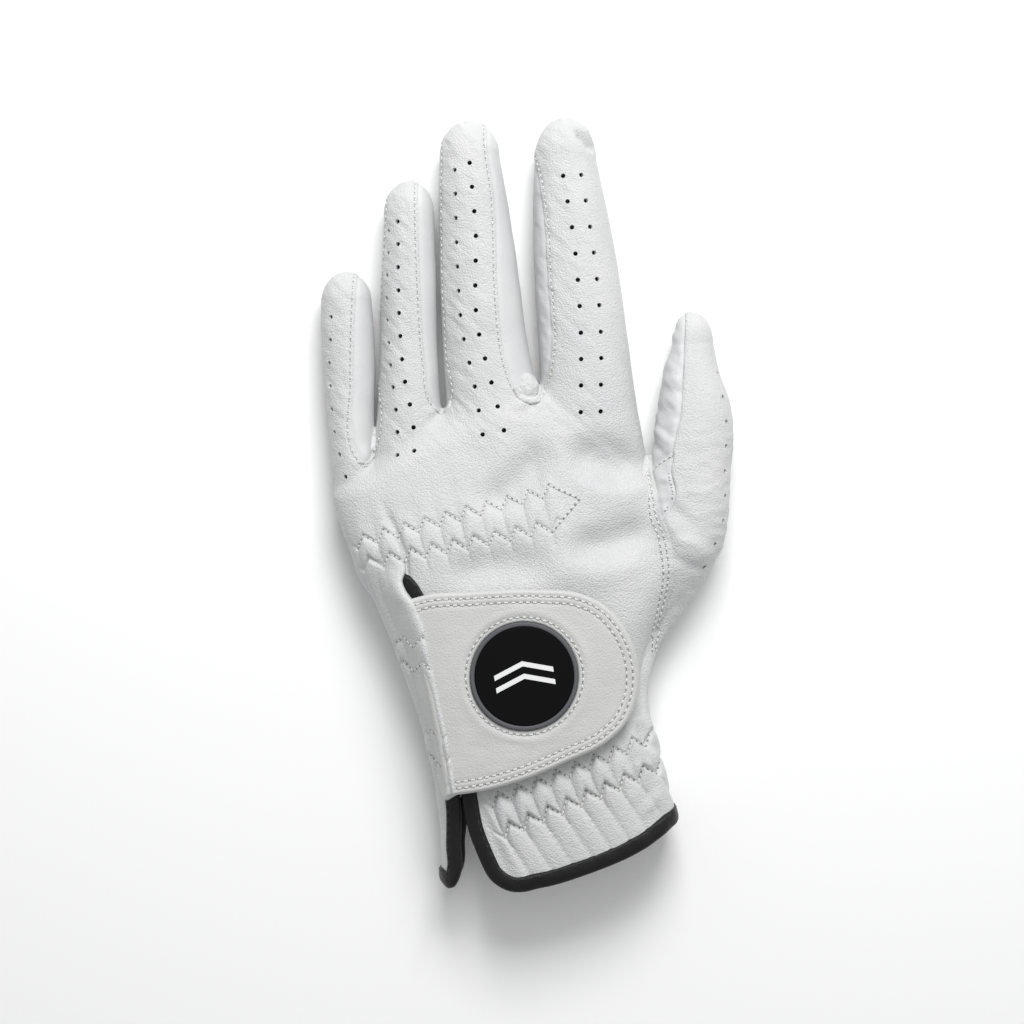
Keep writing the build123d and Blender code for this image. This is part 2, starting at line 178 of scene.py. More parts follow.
def surface_net(field, low, high, step):
    """Vertices and quads of the field's zero surface, one vertex in each grid cell that it crosses."""
    axes = [np.arange(a, b, step) for a, b in zip(low, high)]
    values = field(*np.meshgrid(*axes, indexing="ij", sparse=True))
    inside = values < 0
    corners = list(np.ndindex(2, 2, 2))
    shape = tuple(n - 1 for n in values.shape)

    def at(array, corner):
        return array[tuple(slice(c, c + n) for c, n in zip(corner, shape))]

    count = sum(at(inside, corner).astype(np.int8) for corner in corners)
    cells = np.argwhere((count > 0) & (count < 8))
    total = np.zeros((len(cells), 3))
    crossings = np.zeros(len(cells))
    for a in corners:
        for axis in range(3):
            if a[axis]:
                continue
            b = tuple(c + (n == axis) for n, c in enumerate(a))
            value_a, value_b = (values[tuple((cells + c).T)] for c in (a, b))
            crossed = (value_a < 0) != (value_b < 0)
            share = np.where(crossed, value_a / np.where(crossed, value_a - value_b, 1), 0)
            point = np.array(a) + share[:, None] * (np.arange(3) == axis)
            total += point * crossed[:, None]
            crossings += crossed
    vertices = np.array(low) + step * (cells + total / crossings[:, None])
    number = -np.ones(shape, int)
    number[tuple(cells.T)] = np.arange(len(cells))
    quads = []
    for axis in range(3):
        one, two = (axis + 1) % 3, (axis + 2) % 3
        ahead = np.roll(inside, -1, axis)
        changed = np.argwhere((inside != ahead)[tuple(slice(1, n) for n in shape)]) + 1
        around = []
        for back_one, back_two in ((0, 0), (1, 0), (1, 1), (0, 1)):
            cell = changed.copy()
            cell[:, one] -= back_one
            cell[:, two] -= back_two
            around.append(number[tuple(cell.T)])
        quad = np.stack(around, 1)
        flip = ~inside[tuple(changed.T)]
        quad[flip] = quad[flip][:, ::-1]
        quads.append(quad)
    quads = np.concatenate(quads)
    return vertices, quads[(quads >= 0).all(1)]


def gradient(field, points, width=0.05):
    change = [field(*(points + step).T) - field(*(points - step).T) for step in width * np.eye(3)]
    return np.stack(change, 1) / (2 * width)


def settled(field, points):
    """The points moved to the field's zero surface, by one step down its slope."""
    slope = gradient(field, points)
    steep = np.maximum((slope**2).sum(1), 0.05)
    return points - slope * (field(*points.T) / steep)[:, None]


def settle(field, points, quads, rounds=4):
    """Evens out the mesh and puts each vertex back on the zero surface."""
    edges = np.concatenate([quads[:, [i, (i + 1) % 4]] for i in range(4)])
    ends = [edges.T, edges.T[::-1]]
    count = sum(np.bincount(a, minlength=len(points)) for a, b in ends)
    for _ in range(rounds):
        total = sum(np.stack([np.bincount(a, x[b], len(points)) for x in points.T]) for a, b in ends)
        points = 0.4 * points + 0.6 * (total / count).T
        points = settled(field, settled(field, points))
    return points


# ---- lines and outlines on the plan


def unit(vectors):
    return vectors / np.maximum(np.linalg.norm(vectors, axis=-1, keepdims=True), 1e-12)


def lengths(path):
    """How far along the path each of its points is."""
    return np.concatenate([[0], np.cumsum(np.linalg.norm(np.diff(path, axis=0), axis=1))])


def place_at(path, run, at):
    return np.stack([np.interp(at, run, values) for values in path.T], -1)


def curve(points, step=0.8):
    """Points about step apart along a smooth curve through the given ones."""
    points = np.array(points, float)
    run = lengths(points)
    at = np.linspace(0, run[-1], max(2, int(run[-1] / step) + 1))
    return np.stack([smooth(at, list(zip(run, values))) for values in points.T], 1)


def line_distance(x, y, line):
    nearest = np.full(np.shape(x), np.inf)
    for (ax, ay), (bx, by) in zip(line[:-1], line[1:]):
        dx, dy = bx - ax, by - ay
        along = np.clip(((x - ax) * dx + (y - ay) * dy) / (dx * dx + dy * dy + 1e-12), 0, 1)
        nearest = np.minimum(nearest, (x - ax - along * dx) ** 2 + (y - ay - along * dy) ** 2)
    return np.sqrt(nearest)


def region(x, y, outline, margin=8.0):
    """Distance to a closed outline, negative inside it, and margin where it is further than that."""
    outline = np.array(outline, float)
    closed = np.vstack([outline, outline[:1]])
    low, high = outline.min(0) - margin, outline.max(0) + margin
    near = (x > low[0]) & (x < high[0]) & (y > low[1]) & (y < high[1])
    px, py = x[near], y[near]
    inside = np.zeros(px.shape, bool)
    for (ax, ay), (bx, by) in zip(closed[:-1], closed[1:]):
        if ay != by:
            inside ^= ((ay > py) != (by > py)) & (px < ax + (py - ay) * (bx - ax) / (by - ay))
    result = np.full(np.shape(x), margin)
    result[near] = np.where(inside, -1, 1) * np.minimum(line_distance(px, py, closed), margin)
    return result


def ramp(x, start, end):
    """0 before start, 1 after end, and smooth between."""
    t = np.clip((x - start) / (end - start), 0, 1)
    return t * t * (3 - 2 * t)


def bell(x, width):
    return np.exp(-((x / width) ** 2))


def noise(x, y, z, size, seed):
    """Smooth random values from -1 to 1 that change over about size millimetres."""
    scaled = np.stack([x, y, z], 1) / size
    cell = np.floor(scaled).astype(np.int64)
    part = scaled - cell
    part = part * part * (3 - 2 * part)
    total = np.zeros(len(scaled))
    for corner in np.ndindex(2, 2, 2):
        mixed = (cell + corner) @ np.array([73856093, 19349663, 83492791]) + seed * 40503
        mixed = (mixed ^ (mixed >> 13)) * 1274126177 & 0x7FFFFFFF
        mixed = (mixed ^ (mixed >> 11)) * 668265263 & 0x7FFFFFFF
        weight = np.where(corner, part, 1 - part).prod(1)
        total += weight * (mixed / 0x3FFFFFFF - 1)
    return total


# ---- triangle nets


class Net:
    """Triangles of a surface, each with a panel number, that can be refined and cut."""

    def __init__(self, points, tri):
        self.points = points
        self.tri = tri
        self.panel = np.zeros(len(tri), int)

    def edges(self):
        """Each edge once, and the numbers of each triangle's three edges, from corner i to i + 1."""
        ends = np.sort(np.stack([self.tri, np.roll(self.tri, -1, 1)], 2).reshape(-1, 2), 1)
        keys, of = np.unique(ends[:, 0] * len(self.points) + ends[:, 1], return_inverse=True)
        return np.stack(np.divmod(keys, len(self.points)), 1), of.reshape(-1, 3)

    def divide(self, edges, of, chosen, share):
        """Adds a vertex at share along each chosen edge, and divides the triangles on both sides.

        Gives the number of the first new vertex, and for each triangle the one that it was part of."""
        first_new = len(self.points)
        number = np.full(len(edges), -1)
        number[chosen] = first_new + np.arange(chosen.sum())
        a, b = edges[chosen].T
        t = share[chosen][:, None]
        middle = number[of]
        split = middle >= 0
        count = split.sum(1)
        tri, source = [self.tri[count == 0]], [np.flatnonzero(count == 0)]
        firsts = {1: split.argmax(1), 2: (~split).argmax(1), 3: np.zeros(len(split), int)}
        for n, first in firsts.items():
            rows = np.flatnonzero(count == n)
            turn = (np.arange(3) + first[rows][:, None]) % 3
            i, j, k = np.take_along_axis(self.tri[rows], turn, 1).T
            ij, jk, ki = np.take_along_axis(middle[rows], turn, 1).T
            pieces = {
                1: [(i, ij, k), (ij, j, k)],
                2: [(jk, k, ki), (i, j, jk), (i, jk, ki)],
                3: [(i, ij, ki), (ij, j, jk), (jk, k, ki), (ij, jk, ki)],
            }[n]
            tri += [np.stack(piece, 1) for piece in pieces]
            source += [rows] * len(pieces)
        source = np.concatenate(source)
        self.points = np.vstack([self.points, self.points[a] * (1 - t) + self.points[b] * t])
        self.tri, self.panel = np.concatenate(tri), self.panel[source]
        return first_new, source

    def refine(self, wanted, field=None):
        """Halves the edges of the wanted triangles, with the new vertices put on the field's surface."""
        edges, of = self.edges()
        chosen = np.zeros(len(edges), bool)
        chosen[of[wanted]] = True
        first, _ = self.divide(edges, of, chosen, np.full(len(edges), 0.5))
        if field:
            self.points[first:] = settled(field, self.points[first:])

    def cut(self, values, among, number, snap=0.22):
        """Cuts some panels where values crosses 0, and gives the side below 0 a panel number."""
        values = values.astype(float).copy()
        among = np.isin(self.panel, among)
        edges, of = self.edges()
        live = np.zeros(len(edges), bool)
        live[of[among]] = True
        locked = self.border_vertices(edges, of)
        a, b = edges.T

        def crossings():
            crossing = live & (values[a] * values[b] < 0)
            return crossing, np.where(crossing, values[a] / np.where(crossing, values[a] - values[b], 1), 0)

        crossing, share = crossings()
        moved = self.points[a] * (1 - share[:, None]) + self.points[b] * share[:, None]
        for end, near in ((a, share < snap), (b, share > 1 - snap)):
            rows = np.flatnonzero(crossing & near & ~locked[end])
            self.points[end[rows]] = moved[rows]
            values[end[rows]] = 0
        crossing, share = crossings()
        first, source = self.divide(edges, of, crossing, share)
        values = np.concatenate([values, np.zeros(len(self.points) - first)])
        below = values[self.tri].sum(1) < 0
        self.panel[among[source] & below] = number

    def border_vertices(self, edges, of):
        """Vertices on the net's edge or between two panels."""
        flat, panel = of.ravel(), np.repeat(self.panel, 3)
        low, high = np.full((2, len(edges)), -1)
        low[flat] = panel
        np.maximum.at(high, flat, panel)
        np.minimum.at(low, flat, panel)
        single = np.bincount(flat, minlength=len(edges)) == 1
        locked = np.zeros(len(self.points), bool)
        locked[edges[(low != high) | single]] = True
        return locked

    def drop(self, wanted):
        self.tri, self.panel = self.tri[~wanted], self.panel[~wanted]

    def centres(self):
        return self.points[self.tri].mean(1)

    def runs(self, panel, others=None):
        """Ordered vertices along a panel's border with others, or along the net's edge, panel on the left."""
        start, end = self.tri.ravel(), np.roll(self.tri, -1, 1).ravel()
        owner = np.repeat(self.panel, 3)
        keys, back = start * len(self.points) + end, end * len(self.points) + start
        order = np.argsort(keys)
        match = order[np.minimum(np.searchsorted(keys[order], back), len(keys) - 1)]
        across = np.where(keys[match] == back, owner[match], -1)
        edge = np.isin(owner, panel) & (across == -1 if others is None else np.isin(across, others))
        ahead = dict(zip(start[edge].tolist(), end[edge].tolist()))
        ends = set(ahead.values())
        heads = [vertex for vertex in ahead if vertex not in ends]
        result = []
        while ahead:
            first = heads.pop() if heads else next(iter(ahead))
            run = [first]
            while run[-1] in ahead:
                run.append(ahead.pop(run[-1]))
            if len(run) > 1:
                result.append(np.array(run))
        return sorted(result, key=len, reverse=True)


# ---- seams and openings on the plan

SEAM_Z = 5.0  # height of the seam between the back and the palm
(BACK, PALM, LITTLE_RING, RING_MIDDLE, MIDDLE_INDEX, THUMB_BACK, THUMB_FRONT, QUIRK, REMOVED) = range(9)

GAPS = {
    LITTLE_RING: [
        (-43.4, 110), (-43.4, 68), (-44.3, 60.1), (-44.9, 47.1), (-45.1, 30.7), (-44.4, 13.6), (-42.3, 10.4),
        (-39.9, 14.6), (-38.9, 34.6), (-38.1, 56), (-37.3, 72), (-36.8, 80), (-36.5, 110),
    ],
    RING_MIDDLE: [
        (-28.8, 110), (-28.6, 84.8), (-27.7, 54.6), (-26.4, 35.9), (-24.8, 26.6), (-22.2, 23.7),
        (-20.4, 27.0), (-21.5, 38), (-22.0, 48), (-22.5, 64), (-22.8, 82), (-22.6, 92), (-22.6, 110),
    ],
    MIDDLE_INDEX: [
        (-10.5, 110), (-10.5, 93.1), (-8.7, 79.8), (-7.7, 54.6), (-6.7, 43.2), (-5.1, 35.1), (-2.6, 29.2),
        (1.2, 26.5), (4.5, 31.2), (6.1, 38.5), (6.2, 47), (5.3, 58.5), (4.8, 70), (3.6, 81), (2.1, 89),
        (1, 96), (1, 110),
    ],
}

# The thumb's seam to the hand, as x against y: above, past the ridge, and below, across the palm.
THUMB_SEAM_ABOVE = [
    (-110, 120), (-50, 60), (-42, 38), (-38, 34.5), (-33, 35.8), (-28, 37.1), (-22.1, 37.8), (-12.7, 37.3),
    (-6.8, 36), (-2.3, 34.2), (3.4, 33.2), (9.6, 31.9), (16, 31.8), (26, 31.4), (40, 30.8), (110, 28),
]
THUMB_SEAM_BELOW = [
    (-110, 120), (-50, 60), (-42, 38), (-38, 33.4), (-30, 24), (-16, 20), (-2, 24), (9.6, 31.9), (16, 31.8),
    (26, 31.4), (40, 30.8), (110, 28),
]
THUMB_FRONT_SEAM = [
    (-60, 28), (-5, 33.8), (-2.5, 36), (1, 38.1), (8.8, 37.2), (14.6, 37.8), (17.4, 38.4), (21.3, 39.4),
    (32.8, 40.4), (45.8, 41.1), (60, 42),
]
QUIRK_OUTLINE = [
    (31.5, 8.5), (34, 11.5), (37.6, 13.3), (37.2, 8.8), (38.1, 1), (36, -2.5), (33.8, -5), (32.8, 3),
]

# What is cut out of the back: the slit from its rounded top, the wedge below it, and all below the cuff.
SLIT_RIGHT = [
    (-33.8, -20.6), (-32.0, -20.9), (-29.7, -24.0), (-27.0, -28.5), (-22.2, -41), (-19.0, -55),
    (-16.8, -68), (-15.7, -77), (-14.3, -84), (-11.6, -91),
]
CUFF_CORNER = [
    (-11.6, -91), (-8.9, -96.0), (-4.4, -98.7), (3.3, -97.7), (16.3, -93.7), (29.3, -88.0), (38.6, -81.2),
    (52, -72),
]
FLAP_TIP = [(-30, -96.2), (-22.6, -96.8), (-20.2, -98.6), (-18.2, -95), (-18.3, -88)]
FLAP_RIGHT = [
    (-18.3, -88), (-18.4, -77), (-20.0, -68), (-22.9, -55), (-26.0, -41), (-30.3, -29), (-33.0, -24.5),
    (-34.3, -22.2), (-33.8, -20.6),
]
PALM_CUFF = [
    (-30, -96.5), (-22.6, -97.0), (-20.2, -98.7), (-18.2, -96), (-17.4, -87), (-15.2, -78.5), (-8, -75.5),
    (4, -76.5), (22, -79), (39, -80.8), (52, -72),
]
BELOW_CUFF = [(52, -125), (-40, -125)]
OPENING_ABOVE = np.vstack([
    curve(SLIT_RIGHT), curve(CUFF_CORNER), BELOW_CUFF, curve(FLAP_TIP), curve(FLAP_RIGHT)])
OPENING_PALM = np.vstack([curve(PALM_CUFF), BELOW_CUFF])


def opening_field(x, y, z):
    """Negative in what is cut out of the hand for the cuff and the slit."""
    share = ramp(z, 6, 14)
    return region(x, y, OPENING_ABOVE) * share + region(x, y, OPENING_PALM) * (1 - share)


def thumb_seam(x, y, z):
    share = ramp(z, 4, 14)
    return smooth(y, THUMB_SEAM_ABOVE) * share + smooth(y, THUMB_SEAM_BELOW) * (1 - share) - x


# ---- gathers over elastic


class Gathers:
    """Two rows of zigzag stitching over an elastic band, and the puffs of leather between them."""

    def __init__(self, first, second, period, height, lean, puff, above, below, drift=0.0):
        self.first, self.second = np.array(first, float), np.array(second, float)
        self.period, self.height, self.lean = period, height, lean
        self.puff, self.above, self.below, self.drift = puff, above, below, drift

    def local(self, x, y):
        """Millimetres along and down from the first row, how far apart the rows are, place in the zigzag
        and the first row's length."""
        (ax, ay), (bx, by) = self.first
        length = math.hypot(bx - ax, by - ay)
        ex, ey = (bx - ax) / length, (by - ay) / length

        def place(x, y):
            return (x - ax) * ex + (y - ay) * ey, (x - ax) * ey - (y - ay) * ex

        along, down = place(x, y)
        (begin, start), (finish, end) = (place(*corner) for corner in self.second)
        apart = start + (end - start) * (along - begin) / (finish - begin)
        slid = along - self.drift * np.clip(down - apart, 0, None)
        phase = (slid / self.period) % 1
        peak = np.where(phase < self.lean, phase / self.lean, (1 - phase) / (1 - self.lean))
        return along, down + self.height * (peak - 0.5), apart, peak, length

    def zone(self, x, y, above, below, past=3):
        """Whether a place is between the rows, or this far above, below or past their ends."""
        along, down, apart, _, length = self.local(x, y)
        return (along > -past) & (along < length + past) & (down > -above) & (down < apart + below)

    def relief(self, x, y):
        along, down, apart, peak, length = self.local(x, y)
        puff = np.sin(np.pi / 2 * np.clip(peak, 0, 1)) ** 0.5
        across = down / apart
        between = np.clip(np.sin(np.pi * np.clip(across, 0, 1)), 0, 1) ** 0.6
        over = 0.55 * np.exp(np.minimum(down, 0) / self.above) * (down < 0)
        under = 0.95 * np.exp(-((np.maximum(down - apart, 0) / self.below) ** 1.5)) * (down > apart)
        shape = np.where((across >= 0) & (across <= 1), 0.35 + 0.65 * between, over + under)
        stitch = np.minimum(np.abs(down), np.abs(down - apart))
        ends = ramp(along, -3, 1) * (1 - ramp(along, length - 1, length + 2))
        ends = ends * (1 + 0.22 * noise(along / 7, down / 30, 0 * along, 1.0, 41))
        pinch = 0.34 * self.puff * bell(stitch, 0.6)
        return ends * (self.puff * puff * shape * (1 - 0.75 * bell(stitch, 0.75)) - pinch)

    def corners(self):
        """Corner points of both rows' zigzags on the plan."""
        f = unit(self.first[1] - self.first[0])
        side = np.array([-f[1], f[0]])
        for row in (self.first, self.second):
            e, length = unit(row[1] - row[0]), np.linalg.norm(row[1] - row[0])
            offset, scale = (row[0] - self.first[0]) @ f, e @ f
            last = math.floor((offset + length * scale) / self.period)
            points = []
            for turn in range(math.ceil(offset / self.period), last + 1):
                for phase, up in ((0, -0.5), (self.lean, 0.5)):
                    t = ((turn + phase) * self.period - offset) / scale
                    if -0.01 <= t <= length + 0.01:
                        points.append(row[0] + e * t + side * up * self.height)
            yield np.array(points)


# Ends of the first and the second row; the zigzag's period, height and lean; the puffs' height and how
# far they reach above and below the rows; and how much they drift sideways below them.
KNUCKLE = Gathers([(-44.3, -10.1), (6.4, 3.6)], [(-40.7, -15.3), (7.6, -5.6)], 5.5, 3.0, 0.42, 0.8, 5.0, 7.0)
KNUCKLE_POINT = (13.4, 1.2)  # where the two rows' ends meet
WRIST = Gathers(
    [(-9.6, -76.4), (36.5, -58.4)], [(-7.6, -84.8), (37.5, -66.2)], 5.3, 3.4, 0.5, 1.55, 4.0, 15.0, 0.22)
LEVEL = (5.2, 2.6, 0.5)  # period, height and lean of the zigzags on level bands
FLAP_UPPER = Gathers([(-45, -35.4), (-25.5, -35.4)], [(-45, -41.8), (-24, -41.8)], *LEVEL, 0.7, 3.0, 3.0)
FLAP_LOWER = Gathers([(-38, -59.5), (-20.4, -59.5)], [(-38, -66.3), (-19.4, -66.3)], *LEVEL, 0.7, 3.0, 3.0)
HEEL_PALM = Gathers([(-46, -35.4), (6, -35.4)], [(-46, -41.8), (6, -41.8)], *LEVEL, 0.7, 4.0, 4.0)
WRIST_PALM = Gathers([(-38, -59.5), (38, -59.5)], [(-38, -66.3), (38, -66.3)], *LEVEL, 0.9, 4.0, 8.0)


def fold(x, y, line, width, height):
    """A ridge, or with a negative height a crease, along a line, fading at its ends."""
    line = curve(line)
    middle = line[len(line) // 2]
    reach = np.linalg.norm(line - middle, axis=1).max()
    fade = 1 - ramp(np.hypot(x - middle[0], y - middle[1]), 0.4 * reach, 1.15 * reach)
    return height * fade * bell(line_distance(x, y, line), width)


def relief(points, facing):
    """How far the leather stands out from the smooth surface, in millimetres, before its seams."""
    x, y, z = points.T
    right, _, up = facing.T
    above, below = ramp(z, 7, 12), 1 - ramp(z, 3, 7)
    level = ramp(up, 0.1, 0.7)
    flap = above * (1 - ramp(x, -24, -20)) * (0.25 + 0.75 * level)
    total = KNUCKLE.relief(x, y) * above * (1 - ramp(x, 12, 15))
    total += WRIST.relief(x, y) * above * ramp(x, -15, -11) * (0.35 + 0.65 * level)
    total += FLAP_UPPER.relief(x, y) * flap + FLAP_LOWER.relief(x, y) * flap
    total += (HEEL_PALM.relief(x, y) + WRIST_PALM.relief(x, y)) * below
    top = ramp(up, 0.1, 0.5)
    for cx, cy, width, length, height in BULGES:
        total += top * height * np.exp(-(((x - cx) / width) ** 2) - ((y - cy) / length) ** 2)
    for line, width, height in FOLDS:
        total += top * fold(x, y, line, width, height)
    # slanting wrinkles on the fingers, strongest where they face left
    fingers = ramp(y, 6, 22) * (0.2 + 0.8 * ramp(right, 0.30, -0.15)) * (x < 31) * ramp(up, 0.1, 0.6)
    total += 0.20 * fingers * noise((x - y) / 5.0, (x + y) / 1.5, z / 3.0, 1.1, 3)
    # the soft unevenness of all the leather
    total += 0.10 * noise(x, y, z, 6.0, 5) + 0.16 * noise(x, y, z, 15.0, 7)
    # creases across the thumb's root, deeper on its front panel, and slanting ones further up that panel
    thumb = ramp(x, 30, 36) * ramp(y, -40, -20) * (1 - ramp(y, 14, 30))
    front = ramp(smooth(y, THUMB_FRONT_SEAM) - x, -0.5, 1.5)
    total += (0.16 + 0.3 * front) * thumb * noise(x / 2.2, y, z / 2.2, 1.6, 11)
    front = 0.5 * front * ramp(x, 30, 33) * ramp(y, 8, 14)
    total += front * noise((x - y) / 3, (x + y) / 1.2, z / 4, 1.9, 15)
    # puckers at the thumb's end of the cuff
    heel = ramp(x, 22, 30) * (1 - ramp(y, -60, -45)) * above
    return total + 0.35 * heel * noise((x + y) / 2, x - y, z, 3.4, 13)


# Bunched leather at the roots of the fingers: centre, width, length and height.
BULGES = [
    (-1.8, 25.8, 1.8, 1.5, 0.55), (4.0, 26.8, 1.6, 1.6, 0.45), (1.0, 25.2, 0.9, 0.9, -0.6),
    (-24.9, 24.0, 1.3, 1.2, 0.5), (-20.2, 24.2, 1.3, 1.2, 0.5),
    (-42.2, 12.8, 1.5, 2.2, 0.8), (-44.4, 10.8, 1.2, 1.2, 0.4), (-40.4, 11.2, 1.2, 1.2, 0.4),
]

# Single folds, creases and wide hollows: line, width and height.
FOLDS = [
    # beside the slit, and at the thumb's end of the cuff
    ([(-37.5, 1), (-35.6, -4), (-33.2, -8.5), (-31.2, -14), (-30.8, -20)], 0.9, -0.9),
    ([(31.5, -49), (30.2, -54), (33.0, -60)], 1.4, 0.9),
    ([(28.5, -56), (30.2, -61), (35.5, -65)], 1.2, -0.8),
    # across the thumb's root
    ([(33.0, 4), (37.5, -1), (44, -6)], 1.5, -0.5),
    ([(34.2, -2), (38.5, -8), (46, -12)], 1.6, 0.5),
    ([(35.5, -10), (40, -15), (47, -17)], 1.6, -0.4),
    # the crease in the index finger's tip
    ([(12.4, 97.4), (14.7, 95.0), (17.4, 92.0)], 0.9, -1.9),
    ([(13.6, 99.0), (16.0, 96.7), (18.8, 93.6)], 1.2, 0.8),
    # soft hollows and swells on the back, and along the thumb's lower side
    ([(10, 14.5), (21, 10.6), (31, 9.4)], 5.4, -3.0),
    ([(5, 15.5), (1, 9), (-6, 2.5), (-13, 0)], 4.6, -2.3),
    ([(10, -11.4), (21, -10.2), (33, -6.0)], 4.7, -3.0),
    ([(31, 4), (22, 2.5), (12, 7)], 4.0, 0.6),
    ([(29, -15), (17, -17), (2, -17)], 5.0, 0.8),
    ([(-12, -18), (-8, -12), (-10, -2)], 5.0, -0.5),
    ([(-21, -18.0), (-8, -16.4), (6, -15.4)], 4.6, -1.7),
    ([(42, -16), (37.5, -26), (33.8, -37), (31.8, -47), (31.5, -54)], 5.0, -2.2),
    ([(38, -9), (43, -12), (48, -14)], 3.5, 0.8),
    ([(24, -44), (27.5, -52), (30, -58)], 2.5, -0.8),
]


# ---- perforations

HOLE_RADIUS = 0.6
HOLE_ROWS = [  # how many holes, and a curve through them on the plan
    (8, [(-51.1, 48.6), (-51.4, 31.5), (-50.3, 19.2), (-47.2, 7.0)]),
    (11, [(-36.2, 71.0), (-36.4, 45.2), (-35.2, 32.2), (-33.7, 19), (-33.7, 12.7)]),
    (11, [(-33.7, 73.3), (-33.2, 46.8), (-32.1, 33.8), (-29.5, 20.0), (-29.3, 13.8)]),
    (12, [(-18.9, 86.6), (-18.1, 58.2), (-17.0, 45.2), (-13.8, 30.9), (-11.6, 17.9)]),
    (12, [(-15.0, 88.4), (-13.5, 71.8), (-12.9, 45.8), (-9.5, 32.0), (-6.1, 19.0)]),
    (10, [(9.2, 85.0), (12.1, 67.1), (13.7, 45.8), (13.7, 23.7)]),
    (10, [(13.9, 85.3), (16.9, 67.1), (18.9, 46.0), (18.9, 23.9)]),
    (9, [(49.6, 34.1), (51.7, 21.6), (51.3, 8.6), (50.6, -4.7), (45.9, -16.4)]),
]


def hole_centres(surface):
    """Where each perforation's axis meets the surface."""
    centres = []
    for count, line in HOLE_ROWS:
        path = curve(line, 0.1)
        places = path[np.linspace(0, len(path) - 1, count).astype(int)]
        centres += [surface.down(*place)[0] for place in places]
    return np.array(centres)


def nearest_distance(points, centres):
    nearest = np.full(len(points), np.inf)
    for centre in centres:
        nearest = np.minimum(nearest, ((points - centre) ** 2).sum(1))
    return np.sqrt(nearest)


# ---- the leather's surface in panels

GLOVE_BOX = (-57.0, -112.0, -3.0), (58.0, 106.0, 28.0)
COARSE_STEP = 1.15  # of the first mesh, which is then refined where there is detail


def make_glove():
    """The smooth leather surface as a net, cut into panels."""
    points, quads = surface_net(glove_field, *GLOVE_BOX, COARSE_STEP)
    points = settle(glove_field, points, quads)
    net = Net(points, np.concatenate([quads[:, [0, 1, 2]], quads[:, [0, 2, 3]]]))
    net.drop(opening_field(*net.centres().T) < -3)
    holes = hole_centres(Surface(net.points, net.tri))

    # Finer over the gathers, the fingers, the thumb, the seams and the opening's edge.
    x, y, z = net.centres().T
    detail = (z > 8) & KNUCKLE.zone(x, y, 4, 4) | (z > 6) & WRIST.zone(x, y, 4, 15)
    for band in (HEEL_PALM, WRIST_PALM):
        detail |= ((z < 6) | (x < -20)) & band.zone(x, y, 3, 4)
    detail &= (region(x, y, TAB_OUTLINE) > -2) | (z < 12)
    detail |= (y > -5) & (z > 3) | (np.abs(thumb_seam(x, y, z)) < 2.5)
    net.refine(detail | (opening_field(x, y, z) < 2.5) | (x > 27), glove_field)

    # Finer again along the back's gathers and round the perforations, and once more round these.
    x, y, z = net.centres().T
    fine = nearest_distance(net.centres(), holes) < 1.6
    for band in (KNUCKLE, WRIST):
        fine |= (z > 8) & band.zone(x, y, 2, 3, 2)
    fine &= (region(x, y, TAB_OUTLINE) > -2) | (z < 12)
    net.refine(fine, glove_field)
    net.refine(nearest_distance(net.centres(), holes) < 1.3, glove_field)

    def cut(values, among, number):
        net.cut(values(*net.points.T), among, number)
        net.drop(net.panel == REMOVED)

    cut(opening_field, [BACK], REMOVED)
    cut(thumb_seam, [BACK], THUMB_FRONT)
    cut(lambda x, y, z: z - SEAM_Z, [BACK], PALM)
    for number, outline in GAPS.items():
        cut(lambda x, y, z: region(x, y, curve(outline, 1.2)), [BACK], number)
    cut(lambda x, y, z: np.maximum(smooth(y, THUMB_FRONT_SEAM) - x, SEAM_Z - z), [THUMB_FRONT], THUMB_BACK)
    quirk = curve(QUIRK_OUTLINE)
    cut(lambda x, y, z: np.maximum(region(x, y, quirk), 7 - z), [THUMB_FRONT, THUMB_BACK], QUIRK)
    cut(lambda *place: nearest_distance(np.stack(place, 1), holes) - HOLE_RADIUS, [BACK, THUMB_BACK], REMOVED)
    return net


# ---- Blender objects


def mesh_object(name, points, faces, material, body, slot, *nodes, angle=55):
    """A mesh piece, from points in millimetres, that rides on a body or is left free."""
    mesh = bpy.data.meshes.new(name)
    faces = faces if isinstance(faces, list) else faces.tolist()
    mesh.from_pydata((np.asarray(points) * MM).tolist(), [], faces)
    mesh.shade_smooth()
    mesh.set_sharp_from_angle(angle=math.radians(angle))
    obj = bpy.data.objects.new(name, mesh)
    bpy.context.scene.collection.objects.link(obj)
    obj.data.materials.append(material)
    if body:
        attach(obj, body)
    if nodes:
        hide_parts(*nodes)
    return obj


def closed_skin(net, panel, outer, inner):
    """Points and triangles of a closed solid between two positions of a panel's vertices."""
    chosen = net.tri[np.isin(net.panel, panel)]
    used, tri = np.unique(chosen, return_inverse=True)
    tri = tri.reshape(-1, 3)
    count = len(used)
    edge = np.concatenate([tri[:, [i, (i + 1) % 3]] for i in range(3)])
    keys = edge[:, 0] * count + edge[:, 1]
    rim = edge[~np.isin(keys, edge[:, 1] * count + edge[:, 0])]
    a, b = rim.T
    faces = np.concatenate([
        tri,
        tri[:, ::-1] + count,
        np.stack([b, a, a + count], 1),
        np.stack([b, a + count, b + count], 1),
    ])
    return np.vstack([outer[used], inner[used]]), faces


# ---- outlines of the closure tab

